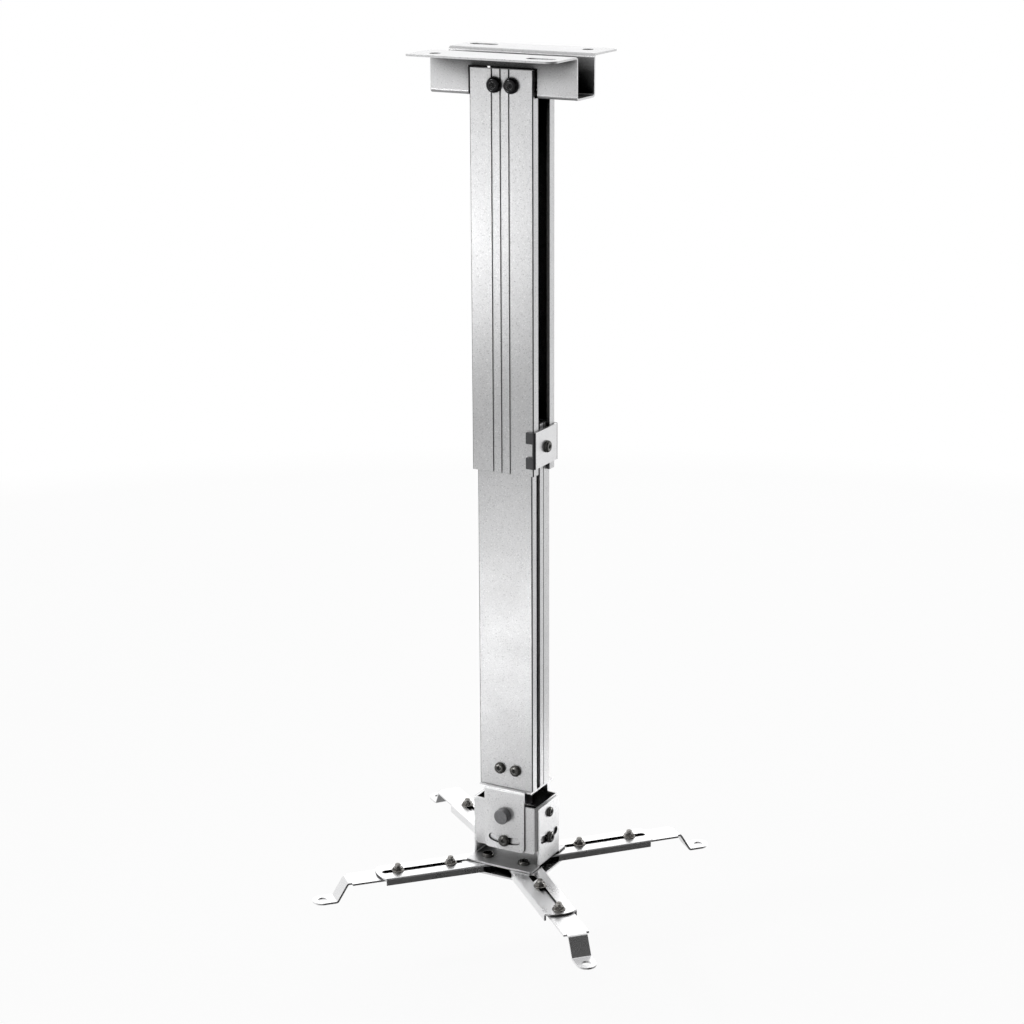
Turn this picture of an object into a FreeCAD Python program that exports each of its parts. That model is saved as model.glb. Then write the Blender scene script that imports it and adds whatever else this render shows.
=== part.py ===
import FreeCAD, Part
import os
import re
import Sketcher

# Projector ceiling mount. A folded ceiling bracket carries an extruded column,
# a second extrusion slides in it, and a two-axis tilt head below holds four
# slotted arms whose feet bolt to the projector. X runs along the ceiling
# bracket, Y from front to rear and Z up. The origin lies on the ceiling's face,
# on the column's axis, so the whole mount hangs at negative Z.

# Driving sizes in millimetres, angles in degrees.
SIZES = {
    # ceiling bracket
    "bracket_length": 120,
    "bracket_depth": 100,
    "bracket_height": 31,
    "bracket_sheet": 1.5,
    "bracket_bend": 1.5,
    "bracket_hole_corner": 2,
    "bracket_slot_corner": 7,
    "anchor_spacing_across": 86,
    "anchor_spacing_deep": 72,
    "anchor_radius": 4.25,
    "anchor_slot_length": 23,
    "tongue_width": 49,
    "tongue_slit": 3.7,
    "tongue_top_gap": 1.4,
    # outer column
    "column_drop": 11,
    "column_length": 300,
    "column_width": 52,
    "column_depth": 33.6,
    "column_wall": 2.6,
    "column_corner": 0.8,
    "side_slot": 18,
    "groove_pitch": 7.1,
    "groove_width": 1.3,
    "groove_depth": 0.8,
    "groove_shift": -0.6,
    "column_bolt_drop": 22.5,
    "column_bolt_spacing": 14,
    "bolt_shift": 1.6,
    "column_bolt_radius": 3,
    # inner column
    "slide_gap": 0.2,
    "inner_length": 292,
    "inner_wall": 2.2,
    "overlap": 37,
    "inner_slot": 5.6,
    "inner_slot_shift": -4.3,
    "side_groove_shift": 4.3,
    "side_groove_width": 0.9,
    "side_groove_depth": 0.7,
    # column clamp
    "clamp_drop": 2.7,
    "clamp_height": 28,
    "clamp_sheet": 2,
    "clamp_bend": 1.8,
    "clamp_tab_height": 8.6,
    "clamp_tab_reach": 5.5,
    "clamp_block_less": 2,
    # column foot
    "foot_height": 27,
    "foot_width": 40,
    "foot_sheet": 2.5,
    "foot_screw_spare": 0.5,
    "foot_screw_rise": 15.3,
    "foot_screw_spacing": 13.6,
    "yoke_bolt_spacing": 24,
    # tilt head
    "head_sheet": 1.5,
    "head_bend": 1,
    "pivot_drop": 22,
    "head_shift": 2.5,
    "yoke_side_step": 0.2,
    "wing_setback": 2.4,
    "ear_width": 35,
    "ear_fall": 29.5,
    "ear_corner": 4,
    "block_width": 54.8,
    "block_depth": 37.6,
    "block_rise": 9.5,
    "block_fall": 29,
    "block_corner": 2,
    "block_notch": 2.5,
    "face_gap": 0.1,
    "turn_gap": 0.05,
    "pin_radius": 6,
    "pin_neck_radius": 4,
    "pin_rivet_radius": 5.5,
    "pin_rivet_height": 1.5,
    "pin_chamfer": 0.5,
    "pin_reach": 6,
    "lock_radius": 21.8,
    "side_pivot_rise": 0.9,
    "side_lock_radius": 21.2,
    "lock_slot_swing": 45,
    "lock_slot_angle": 14,
    "lock_slot_gap": 0.6,
    "base_ear_depth": 32.8,
    "base_ear_rise": 8.1,
    "base_fall": 39.9,
    "base_depth": 58.5,
    "base_corner": 2,
    # arm hub
    "hub_shift": 1.5,
    "hub_spacing_across": 32,
    "hub_spacing_deep": 34,
    "hub_gap": 6,
    "hub_plate_width": 62,
    "hub_plate_depth": 62,
    "hub_plate_sheet": 1.5,
    "hub_plate_corner": 3,
    "spacer_radius": 4.5,
    # arms
    "arm_width": 26,
    "arm_length": 86.6,
    "arm_height": 5.7,
    "arm_sheet": 1.5,
    "arm_bend": 1.4,
    "arm_end_radius": 21,
    "arm_flange_start": 8,
    "arm_slot_start": 19,
    "arm_slot_margin": 2.7,
    "arm_slot_gap": 0.3,
    # extension bars
    "bar_width": 20,
    "bar_sheet": 1.5,
    "bar_shoulder": 3.5,
    "bar_foot_width": 15,
    "bar_bolt_inner": 31,
    "bar_bolt_spacing": 43,
    "bar_inner_end": 10,
    "bar_neck": 42.5,
    "joggle_run": 8.5,
    "joggle_drop": 14,
    "bar_bend": 1.2,
    "foot_hole_reach": 10,
    "foot_hole_radius": 3.5,
    "foot_tip_reach": 7.5,
    "foot_end_round": 7.4,
    # each arm's angle from the front-rear line and how far its bar is drawn out,
    # as a share of the way that the slot leaves it
    "angle_front_left": 43,
    "reach_front_left": 0,
    "angle_front_right": 47,
    "reach_front_right": 0.8586,
    "angle_rear_right": 41.5,
    "reach_rear_right": -0.101,
    "angle_rear_left": 53.4,
    "reach_rear_left": 0.8283,
    # screws and nuts
    "pan_head_radius": 4.6,
    "pan_head_height": 2.9,
    "pan_socket": 3,
    "small_radius": 2.5,
    "small_nut": 8,
    "small_nut_height": 4,
    "button_head_radius": 5.8,
    "button_head_height": 3.4,
    "button_socket": 4,
    "large_nut": 10,
    "large_nut_height": 5,
    "flange_radius": 4.9,
    "flange_height": 1.2,
    "flange_nut": 7,
    "flange_nut_height": 1.7,
    "stud_end": 2.6,
    "stud_chamfer": 0.4,
    "stud_head_height": 2.1,
    "head_crown_share": 0.62,
    "head_rim_share": 0.45,
    "socket_depth_share": 0.62,
    "through_head_less": 0.6,
    "thread_fit": 0.05,
}

# Each arm: its name, its side across and its side deep.
ARMS = (
    ("front_left", -1, -1),
    ("front_right", 1, -1),
    ("rear_right", 1, 1),
    ("rear_left", -1, 1),
)

doc = FreeCAD.newDocument("ceiling_mount")
sheet = doc.addObject("Spreadsheet::Sheet", "Sizes")


def fill_sheet():
    """Writes each driving size into the sheet as a plain number with an alias."""
    for row, (alias, value) in enumerate(SIZES.items(), 1):
        sheet.set(f"A{row}", alias.replace("_", " "))
        sheet.set(f"B{row}", str(value))
        sheet.setAlias(f"B{row}", alias)
    doc.recompute()


fill_sheet()


def bound(text):
    """Turns bare size names in an expression into references to the sheet."""
    def reference(word):
        return f"Sizes.{word[0]}" if word[0] in SIZES else word[0]

    return re.sub(r"[a-z][a-z_0-9]*", reference, text)


def value(text):
    """The number that an expression of size names has now."""
    return float(sheet.evalExpression(bound(text)))


# Levels and half sizes that follow from the driving sizes.
CHANNEL_HALF = "(column_depth / 2 - column_wall)"
COLUMN_BOTTOM = "(-column_drop - column_length)"
INNER_TOP = f"({COLUMN_BOTTOM} + overlap)"
INNER_BOTTOM = f"({INNER_TOP} - inner_length)"
INNER_HALF_WIDTH = "(column_width / 2 - column_wall - slide_gap)"
INNER_HALF_DEPTH = "(column_depth / 2 - column_wall - slide_gap)"
CLAMP_MIDDLE = f"({INNER_TOP} - clamp_drop - clamp_height / 2)"
PIVOT = f"({INNER_BOTTOM} - pivot_drop)"
SIDE_PIVOT = f"({PIVOT} + side_pivot_rise)"
YOKE_HALF = "(block_depth / 2 + face_gap + head_sheet)"
YOKE_HALF_WIDTH = f"({INNER_HALF_WIDTH} - yoke_side_step)"
BASE_HALF = "(block_width / 2 + face_gap + head_sheet)"
BASE_TOP = f"({SIDE_PIVOT} - base_fall)"
BASE_BOTTOM = f"({BASE_TOP} - head_sheet)"
ARM_TOP = f"({BASE_BOTTOM} - face_gap)"
HUB_PLATE_TOP = f"({BASE_BOTTOM} - hub_gap)"
BAR_TOP = f"({ARM_TOP} - arm_sheet - face_gap)"
SLOT_SPARE = "(arm_length - arm_slot_margin - bar_bolt_inner - bar_bolt_spacing)"


def new_body(name):
    """Starts a body whose label is the name of its piece."""
    body = doc.addObject("PartDesign::Body", name)
    body.Label = name
    return body


def place(piece, x="0", y="0", z="0", axis=None, angle="0"):
    """Binds a piece's position, and its turn about an axis, to the sheet."""
    if axis is not None:
        turn = FreeCAD.Rotation(FreeCAD.Vector(*axis), value(angle))
        piece.Placement = FreeCAD.Placement(FreeCAD.Vector(), turn)
        if "_" in angle:
            piece.setExpression("Placement.Rotation.Angle", bound(angle))
    for name, text in (("x", x), ("y", y), ("z", z)):
        piece.setExpression(f"Placement.Base.{name}", bound(text))
    return piece


def new_sketch(body, name, role, offset=None):
    """Starts a sketch on one of the body's own planes, or parallel to it."""
    sketch = body.newObject("Sketcher::SketchObject", f"{body.Name}_{name}")
    face = next(feature for feature in body.Origin.OriginFeatures if feature.Role == role)
    sketch.AttachmentSupport = [(face, "")]
    sketch.MapMode = "FlatFace"
    if offset is not None:
        sketch.setExpression("AttachmentOffset.Base.z", bound(offset))
    return sketch


def pin(sketch, curve, point, x, y):
    """Ties a point of a sketch to its distances from the sketch's origin."""
    for kind, text in (("DistanceX", x), ("DistanceY", y)):
        index = sketch.addConstraint(Sketcher.Constraint(kind, -1, 1, curve, point, value(text)))
        sketch.setExpression(f"Constraints[{index}]", bound(text))


def set_radius(sketch, curve, radius):
    """Ties the radius of a circle or an arc to the sheet."""
    index = sketch.addConstraint(Sketcher.Constraint("Radius", curve, value(radius)))
    sketch.setExpression(f"Constraints[{index}]", bound(radius))


def polygon(sketch, corners):
    """Draws a closed outline through corners given as pairs of expressions."""
    first = sketch.GeometryCount
    points = [FreeCAD.Vector(value(x), value(y), 0) for x, y in corners]
    count = len(points)
    for index in range(count):
        sketch.addGeometry(Part.LineSegment(points[index], points[(index + 1) % count]), False)
    for index in range(count):
        following = first + (index + 1) % count
        sketch.addConstraint(Sketcher.Constraint("Coincident", first + index, 2, following, 1))
    for index, (x, y) in enumerate(corners):
        pin(sketch, first + index, 1, x, y)


def rectangle(sketch, low_x, low_y, high_x, high_y):
    """Draws a rectangle between two corners."""
    polygon(sketch, [(low_x, low_y), (high_x, low_y), (high_x, high_y), (low_x, high_y)])


def circle(sketch, x, y, radius):
    """Draws a circle about a point."""
    centre = FreeCAD.Vector(value(x), value(y), 0)
    curve = sketch.addGeometry(Part.Circle(centre, FreeCAD.Vector(0, 0, 1), value(radius)), False)
    set_radius(sketch, curve, radius)
    pin(sketch, curve, 3, x, y)


def hexagon(sketch, across_flats):
    """Draws a hexagon about the sketch's origin, two of its corners on X."""
    tall = f"({across_flats}) / 2"
    long = f"({across_flats}) / sqrt(3)"
    short = f"({across_flats}) / sqrt(3) / 2"
    polygon(sketch, [
        (long, "0"), (short, tall), (f"-{short}", tall),
        (f"-{long}", "0"), (f"-{short}", f"-{tall}"), (short, f"-{tall}"),
    ])


def pad(body, sketch, length, side="Symmetric", reverse=False):
    """Adds the sketch's area to the body over a length."""
    feature = body.newObject("PartDesign::Pad", f"{sketch.Name}_pad")
    feature.Profile = sketch
    feature.SideType = side
    feature.Reversed = reverse
    feature.setExpression("Length", bound(length))
    sketch.Visibility = False
    return feature


def cut_through(body, sketch):
    """Cuts the sketch's area right through the body, both ways."""
    feature = body.newObject("PartDesign::Pocket", f"{sketch.Name}_cut")
    feature.Profile = sketch
    feature.Type = "ThroughAll"
    feature.SideType = "Symmetric"
    sketch.Visibility = False
    return feature


def cut_into(body, sketch, depth, reverse=False):
    """Cuts the sketch's area to a depth from its plane."""
    feature = body.newObject("PartDesign::Pocket", f"{sketch.Name}_cut")
    feature.Profile = sketch
    feature.Reversed = reverse
    feature.setExpression("Length", bound(depth))
    sketch.Visibility = False
    return feature


def round_edges(body, radius, name, choose):
    """Rounds the edges of the body's last feature that choose accepts."""
    doc.recompute()
    base = body.Tip
    names = [f"Edge{index}" for index, edge in enumerate(base.Shape.Edges, 1) if choose(edge)]
    if not names:
        raise ValueError(f"{body.Label}: no edge found for {name}")
    feature = body.newObject("PartDesign::Fillet", f"{body.Name}_{name}")
    feature.Base = (base, names)
    feature.setExpression("Radius", bound(radius))
    return feature


def along(edge, direction):
    """Whether an edge is straight and runs along X, Y or Z."""
    if not isinstance(edge.Curve, (Part.Line, Part.LineSegment)):
        return False
    start, end = (vertex.Point for vertex in edge.Vertexes)
    return abs(getattr(end - start, direction)) > 0.999 * edge.Length


def edge_at(direction, **places):
    """A test for straight edges along a direction whose places match, signs aside."""
    wanted = {name: abs(value(text)) for name, text in places.items()}

    def test(edge):
        if not along(edge, direction):
            return False
        middle = edge.CenterOfMass
        return all(abs(abs(getattr(middle, name)) - place) < 0.01 for name, place in wanted.items())

    return test


def edge_near(direction, points):
    """A test for straight edges along a direction that pass through given points."""
    axes = [name for name in "xyz" if name != direction]
    wanted = [(value(first), value(second)) for first, second in points]

    def test(edge):
        if not along(edge, direction):
            return False
        middle = edge.CenterOfMass
        here = (getattr(middle, axes[0]), getattr(middle, axes[1]))
        return any(abs(here[0] - x) + abs(here[1] - y) < 0.02 for x, y in wanted)

    return test


def turned(name, profile):
    """A round piece about Z from a profile of radius and height pairs."""
    body = new_body(name)
    sketch = new_sketch(body, "profile", "XZ_Plane")
    polygon(sketch, profile)
    feature = body.newObject("PartDesign::Revolution", f"{name}_turn")
    feature.Profile = sketch
    feature.ReferenceAxis = (sketch, ["V_Axis"])
    feature.Angle = 360
    sketch.Visibility = False
    return body


def socket_screw(name, radius, length, head_radius, head_height, socket):
    """A screw with a domed head on its seat at Z 0 and a hexagon socket."""
    crown = f"({head_radius}) * head_crown_share"
    rim = f"({head_height}) * head_rim_share"
    body = turned(name, [
        ("0", f"-({length})"), (radius, f"-({length})"), (radius, "0"), (head_radius, "0"),
        (head_radius, rim), (crown, head_height), ("0", head_height),
    ])
    socket_sketch = new_sketch(body, "socket", "XY_Plane", head_height)
    hexagon(socket_sketch, socket)
    cut_into(body, socket_sketch, f"({head_height}) * socket_depth_share")
    return body


def hexagon_nut(name, across_flats, height, radius):
    """A nut standing on Z 0 with its hole's thread left plain."""
    body = new_body(name)
    sketch = new_sketch(body, "flats", "XY_Plane")
    hexagon(sketch, across_flats)
    circle(sketch, "0", "0", f"{radius} + thread_fit")
    pad(body, sketch, height, "One side")
    return body


def flange_nut(name):
    """A small nut on its own round flange, standing on Z 0."""
    body = new_body(name)
    disc = new_sketch(body, "flange", "XY_Plane")
    circle(disc, "0", "0", "flange_radius")
    circle(disc, "0", "0", "small_radius + thread_fit")
    pad(body, disc, "flange_height", "One side")
    flats = new_sketch(body, "flats", "XY_Plane", "flange_height")
    hexagon(flats, "flange_nut")
    circle(flats, "0", "0", "small_radius + thread_fit")
    pad(body, flats, "flange_nut_height", "One side")
    return body


# Turns that point a fastener's head, which is made facing up.
FACING = {
    "up": ((0, 0, 1), 0),
    "down": ((1, 0, 0), 180),
    "front": ((1, 0, 0), 90),
    "rear": ((1, 0, 0), -90),
    "right": ((0, 1, 0), 90),
    "left": ((0, 1, 0), -90),
}


def set_of(name, pattern, seats):
    """Copies one fastener to each seat and keeps them as separate solids.

    A seat is a facing and three expressions for its place.
    """
    copies = []
    for index, (facing, x, y, z) in enumerate(seats, 1):
        copy = doc.addObject("App::Link", f"{name}_{index}")
        copy.LinkedObject = pattern
        axis, angle = FACING[facing]
        copy.Placement = FreeCAD.Placement(FreeCAD.Vector(), FreeCAD.Rotation(FreeCAD.Vector(*axis), angle))
        for side, text in (("x", x), ("y", y), ("z", z)):
            copy.setExpression(f"Placement.Base.{side}", bound(text))
        copies.append(copy)
    group = doc.addObject("Part::Compound", name)
    group.Label = name
    group.Links = copies
    return group


def drill_column_bolts(body):
    """Drills the two holes, front to rear, that the column's bolts pass through."""
    bolts = new_sketch(body, "bolts", "XZ_Plane")
    for sign in ("-", "+"):
        circle(bolts, f"bolt_shift {sign} column_bolt_spacing / 2", "-column_bolt_drop",
               "column_bolt_radius + thread_fit")
    cut_through(body, bolts)


def ceiling_bracket():
    """The folded hat channel that screws to the ceiling."""
    body = new_body("ceiling_bracket")
    edge = "bracket_depth / 2"
    inner = f"({CHANNEL_HALF} - bracket_sheet)"
    floor = "(-bracket_height + bracket_sheet)"
    hat = new_sketch(body, "hat", "YZ_Plane")
    polygon(hat, [
        (f"-{edge}", "0"), (f"-{inner}", "0"), (f"-{inner}", floor), (inner, floor),
        (inner, "0"), (edge, "0"), (edge, "-bracket_sheet"), (CHANNEL_HALF, "-bracket_sheet"),
        (CHANNEL_HALF, "-bracket_height"), (f"-{CHANNEL_HALF}", "-bracket_height"),
        (f"-{CHANNEL_HALF}", "-bracket_sheet"), (f"-{edge}", "-bracket_sheet"),
    ])
    pad(body, hat, "bracket_length")
    round_edges(body, "bracket_bend", "inner_bends", edge_near("x", [
        (f"-{inner}", floor), (inner, floor),
        (CHANNEL_HALF, "-bracket_sheet"), (f"-{CHANNEL_HALF}", "-bracket_sheet"),
    ]))
    round_edges(body, "bracket_bend + bracket_sheet", "outer_bends", edge_near("x", [
        (f"-{inner}", "0"), (inner, "0"),
        (CHANNEL_HALF, "-bracket_height"), (f"-{CHANNEL_HALF}", "-bracket_height"),
    ]))
    end = "bracket_length / 2"
    round_edges(body, "bracket_hole_corner", "hole_corners",
                edge_near("z", [(f"-{end}", f"-{edge}"), (end, edge)]))
    round_edges(body, "bracket_slot_corner", "slot_corners",
                edge_near("z", [(end, f"-{edge}"), (f"-{end}", edge)]))

    anchors = new_sketch(body, "anchors", "XY_Plane")
    half_slot = "(anchor_slot_length / 2 - anchor_radius)"
    for sign in ("-", ""):
        circle(anchors, f"{sign}anchor_spacing_across / 2", f"{sign}anchor_spacing_deep / 2",
               "anchor_radius")
    slots = new_sketch(body, "slots", "XY_Plane")
    for x_sign, y_sign in (("", "-"), ("-", "")):
        long_hole(slots, f"{x_sign}anchor_spacing_across / 2", f"{y_sign}anchor_spacing_deep / 2",
                  half_slot, "anchor_radius")
    cut_through(body, anchors)
    cut_through(body, slots)

    tongue = new_sketch(body, "tongue", "XZ_Plane", f"{CHANNEL_HALF} - bracket_sheet - bracket_bend")
    near = "tongue_width / 2"
    far = "(tongue_width / 2 + tongue_slit)"
    below = "(-bracket_height - 1)"
    upper = "(-column_drop + tongue_top_gap)"
    polygon(tongue, [
        (f"-{far}", below), (f"-{far}", upper), (far, upper), (far, below),
        (near, below), (near, "-column_drop"), (f"-{near}", "-column_drop"), (f"-{near}", below),
    ])
    front = cut_into(body, tongue, "bracket_sheet + bracket_bend + 1", reverse=True)
    rear = body.newObject("PartDesign::Mirrored", "ceiling_bracket_rear_tongue")
    rear.Originals = [front]
    rear.MirrorPlane = (next(f for f in body.Origin.OriginFeatures if f.Role == "XZ_Plane"), [""])
    body.Tip = rear

    drill_column_bolts(body)
    return body


def long_hole(sketch, x, y, half_length, radius):
    """Draws a hole with round ends, its centres half a length each side of x."""
    left = f"({x} - {half_length})"
    right = f"({x} + {half_length})"
    low = f"({y} - {radius})"
    high = f"({y} + {radius})"
    first = sketch.GeometryCount
    x0, x1, y0, y1 = value(left), value(right), value(low), value(high)
    middle = (y0 + y1) / 2
    reach = value(radius)
    bottom = Part.LineSegment(FreeCAD.Vector(x0, y0, 0), FreeCAD.Vector(x1, y0, 0))
    end = Part.Arc(FreeCAD.Vector(x1, y0, 0), FreeCAD.Vector(x1 + reach, middle, 0),
                   FreeCAD.Vector(x1, y1, 0))
    top = Part.LineSegment(FreeCAD.Vector(x1, y1, 0), FreeCAD.Vector(x0, y1, 0))
    start = Part.Arc(FreeCAD.Vector(x0, y1, 0), FreeCAD.Vector(x0 - reach, middle, 0),
                     FreeCAD.Vector(x0, y0, 0))
    for curve in (bottom, end, top, start):
        sketch.addGeometry(curve, False)
    sketch.addConstraint(Sketcher.Constraint("Tangent", first, 2, first + 1, 1))
    sketch.addConstraint(Sketcher.Constraint("Tangent", first + 1, 2, first + 2, 1))
    sketch.addConstraint(Sketcher.Constraint("Tangent", first + 2, 2, first + 3, 1))
    sketch.addConstraint(Sketcher.Constraint("Tangent", first + 3, 2, first, 1))
    pin(sketch, first + 1, 3, right, y)
    pin(sketch, first + 3, 3, left, y)
    set_radius(sketch, first + 1, radius)


def outer_column():
    """The fixed extrusion: a C section open to the right, grooved front and rear."""
    body = new_body("outer_column")
    half_width = "column_width / 2"
    half_depth = "column_depth / 2"
    inner_width = "(column_width / 2 - column_wall)"
    lip = "side_slot / 2"
    grooves = ["(groove_shift - groove_pitch)", "groove_shift", "(groove_shift + groove_pitch)"]
    floor = "(column_depth / 2 - groove_depth)"

    def grooved(sign, order):
        points = []
        for groove in order:
            sides = ("- groove_width / 2", "+ groove_width / 2")
            if sign == "":
                sides = sides[::-1]
            near, far = (f"({groove} {side})" for side in sides)
            points += [(near, f"{sign}{half_depth}"), (near, f"{sign}{floor}"),
                       (far, f"{sign}{floor}"), (far, f"{sign}{half_depth}")]
        return points

    section = new_sketch(body, "section", "XY_Plane", "-column_drop")
    polygon(section, [
        (f"-{half_width}", f"-{half_depth}"), *grooved("-", grooves), (half_width, f"-{half_depth}"),
        (half_width, f"-{lip}"), (inner_width, f"-{lip}"), (inner_width, f"-{CHANNEL_HALF}"),
        (f"-{inner_width}", f"-{CHANNEL_HALF}"), (f"-{inner_width}", CHANNEL_HALF),
        (inner_width, CHANNEL_HALF), (inner_width, lip), (half_width, lip), (half_width, half_depth),
        *grooved("", grooves[::-1]), (f"-{half_width}", half_depth),
    ])
    pad(body, section, "column_length", "One side", reverse=True)
    round_edges(body, "column_corner", "corners", edge_at("z", x=half_width, y=half_depth))

    shoulder = new_sketch(body, "shoulder", "YZ_Plane")
    rectangle(shoulder, f"-{CHANNEL_HALF}", "-bracket_height", CHANNEL_HALF, "(-column_drop + 1)")
    cut_through(body, shoulder)
    drill_column_bolts(body)
    return body


def inner_column():
    """The sliding extrusion, with a narrow slot and a fine groove on its right side."""
    body = new_body("inner_column")
    width = INNER_HALF_WIDTH
    depth = INNER_HALF_DEPTH
    section = new_sketch(body, "section", "XY_Plane", INNER_TOP)
    slot_low = "(inner_slot_shift - inner_slot / 2)"
    slot_high = "(inner_slot_shift + inner_slot / 2)"
    groove_low = "(side_groove_shift - side_groove_width / 2)"
    groove_high = "(side_groove_shift + side_groove_width / 2)"
    groove_floor = f"({width} - side_groove_depth)"
    in_width = f"({width} - inner_wall)"
    in_depth = f"({depth} - inner_wall)"
    polygon(section, [
        (f"-{width}", f"-{depth}"), (width, f"-{depth}"), (width, slot_low), (in_width, slot_low),
        (in_width, f"-{in_depth}"), (f"-{in_width}", f"-{in_depth}"), (f"-{in_width}", in_depth),
        (in_width, in_depth), (in_width, slot_high), (width, slot_high), (width, groove_low),
        (groove_floor, groove_low), (groove_floor, groove_high), (width, groove_high),
        (width, depth), (f"-{width}", depth),
    ])
    pad(body, section, "inner_length", "One side", reverse=True)
    round_edges(body, "column_corner", "corners", edge_at("z", x=width, y=depth))
    screws = new_sketch(body, "screws", "XZ_Plane")
    for sign in ("-", "+"):
        circle(screws, f"bolt_shift {sign} foot_screw_spacing / 2", f"{INNER_BOTTOM} + foot_screw_rise",
               "small_radius + thread_fit")
    cut_through(body, screws)
    clamp = new_sketch(body, "clamp", "YZ_Plane")
    circle(clamp, "0", CLAMP_MIDDLE, "small_radius + thread_fit")
    cut_into(body, clamp, "column_width", reverse=True)
    return body


def clamp_plate():
    """The sheet clip on the column's right side, two hooks to the front and two to the rear."""
    body = new_body("clamp_plate")
    inner_x = "(column_width / 2 + face_gap)"
    outer_x = "(column_width / 2 + face_gap + clamp_sheet)"
    inner_y = "(column_depth / 2 + face_gap)"
    outer_y = "(column_depth / 2 + face_gap + clamp_sheet)"
    hook_x = f"({outer_x} - clamp_sheet - clamp_tab_reach)"
    section = new_sketch(body, "section", "XY_Plane", CLAMP_MIDDLE)
    polygon(section, [
        (outer_x, f"-{outer_y}"), (outer_x, outer_y), (hook_x, outer_y), (hook_x, inner_y),
        (inner_x, inner_y), (inner_x, f"-{inner_y}"), (hook_x, f"-{inner_y}"), (hook_x, f"-{outer_y}"),
    ])
    pad(body, section, "clamp_height")
    round_edges(body, "clamp_bend", "bends", edge_at("z", x=outer_x, y=outer_y))
    recess = new_sketch(body, "recess", "XZ_Plane")
    rectangle(recess, f"({hook_x} - 1)", f"{CLAMP_MIDDLE} - clamp_height / 2 + clamp_tab_height",
              inner_x, f"{CLAMP_MIDDLE} + clamp_height / 2 - clamp_tab_height")
    cut_through(body, recess)
    hole = new_sketch(body, "hole", "YZ_Plane")
    circle(hole, "0", CLAMP_MIDDLE, "small_radius + thread_fit")
    cut_through(body, hole)
    return body


def clamp_block():
    """The guide block that fills the outer column's side slot behind the clamp plate."""
    body = new_body("clamp_block")
    section = new_sketch(body, "section", "XY_Plane", CLAMP_MIDDLE)
    side = "(side_slot / 2 - slide_gap)"
    rectangle(section, INNER_HALF_WIDTH, f"-{side}", "(column_width / 2 + face_gap)", side)
    pad(body, section, "clamp_height - clamp_block_less")
    hole = new_sketch(body, "hole", "YZ_Plane")
    circle(hole, "0", CLAMP_MIDDLE, "small_radius + thread_fit")
    cut_through(body, hole)
    return body


def column_foot():
    """The U bracket that stands on the yoke inside the inner column."""
    body = new_body("column_foot")
    outer = f"({INNER_HALF_DEPTH} - inner_wall)"
    inner = f"({outer} - foot_sheet)"
    section = new_sketch(body, "section", "YZ_Plane")
    polygon(section, [
        (f"-{outer}", "0"), (outer, "0"), (outer, "foot_height"), (inner, "foot_height"),
        (inner, "foot_sheet"), (f"-{inner}", "foot_sheet"),
        (f"-{inner}", "foot_height"), (f"-{outer}", "foot_height"),
    ])
    pad(body, section, "foot_width")
    round_edges(body, "head_bend", "inner_bends",
                edge_near("x", [(inner, "foot_sheet"), (f"-{inner}", "foot_sheet")]))
    round_edges(body, "head_bend + foot_sheet", "outer_bends",
                edge_near("x", [(outer, "0"), (f"-{outer}", "0")]))
    screws = new_sketch(body, "screws", "XZ_Plane")
    for sign in ("-", "+"):
        circle(screws, f"bolt_shift {sign} foot_screw_spacing / 2", "foot_screw_rise",
               "small_radius + thread_fit")
    cut_through(body, screws)
    bolts = new_sketch(body, "bolts", "XY_Plane")
    for sign in ("-", ""):
        circle(bolts, f"{sign}yoke_bolt_spacing / 2", "0", "column_bolt_radius + thread_fit")
    cut_through(body, bolts)
    place(body, z=INNER_BOTTOM)
    return body


def cut_arc_slots(body, plane, reach, drop):
    """Cuts a curved slot at a drop below the pivot through two opposite ears.

    The slot's curve is flatter than the locking screw's own path, and its width
    leaves room for the difference.
    """
    radius = "(small_radius + lock_slot_gap)"
    centre = f"(lock_slot_swing - {drop})"
    ring = new_sketch(body, "arc", plane)
    ends = [FreeCAD.Vector(value(f"{sign}{reach}"), value(centre), 0) for sign in ("-", "")]
    axis = ring.addGeometry(Part.LineSegment(*ends), True)
    pin(ring, axis, 1, f"-{reach}", centre)
    pin(ring, axis, 2, reach, centre)
    rectangle(ring, f"-{reach}", f"(-{drop} - {radius})", reach, f"(-{drop} + {radius})")
    groove = body.newObject("PartDesign::Groove", f"{body.Name}_arc_slot")
    groove.Profile = ring
    groove.ReferenceAxis = (ring, ["Axis0"])
    groove.setExpression("Angle", bound("lock_slot_angle * 2"))
    groove.Midplane = True
    ring.Visibility = False
    ends = new_sketch(body, "arc_ends", "XZ_Plane" if plane == "YZ_Plane" else "YZ_Plane")
    for sign in ("-", ""):
        circle(ends, f"{sign}lock_slot_swing * sin(lock_slot_angle * 1 deg)",
               f"{centre} - lock_slot_swing * cos(lock_slot_angle * 1 deg)", radius)
    cut_through(body, ends)


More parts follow.
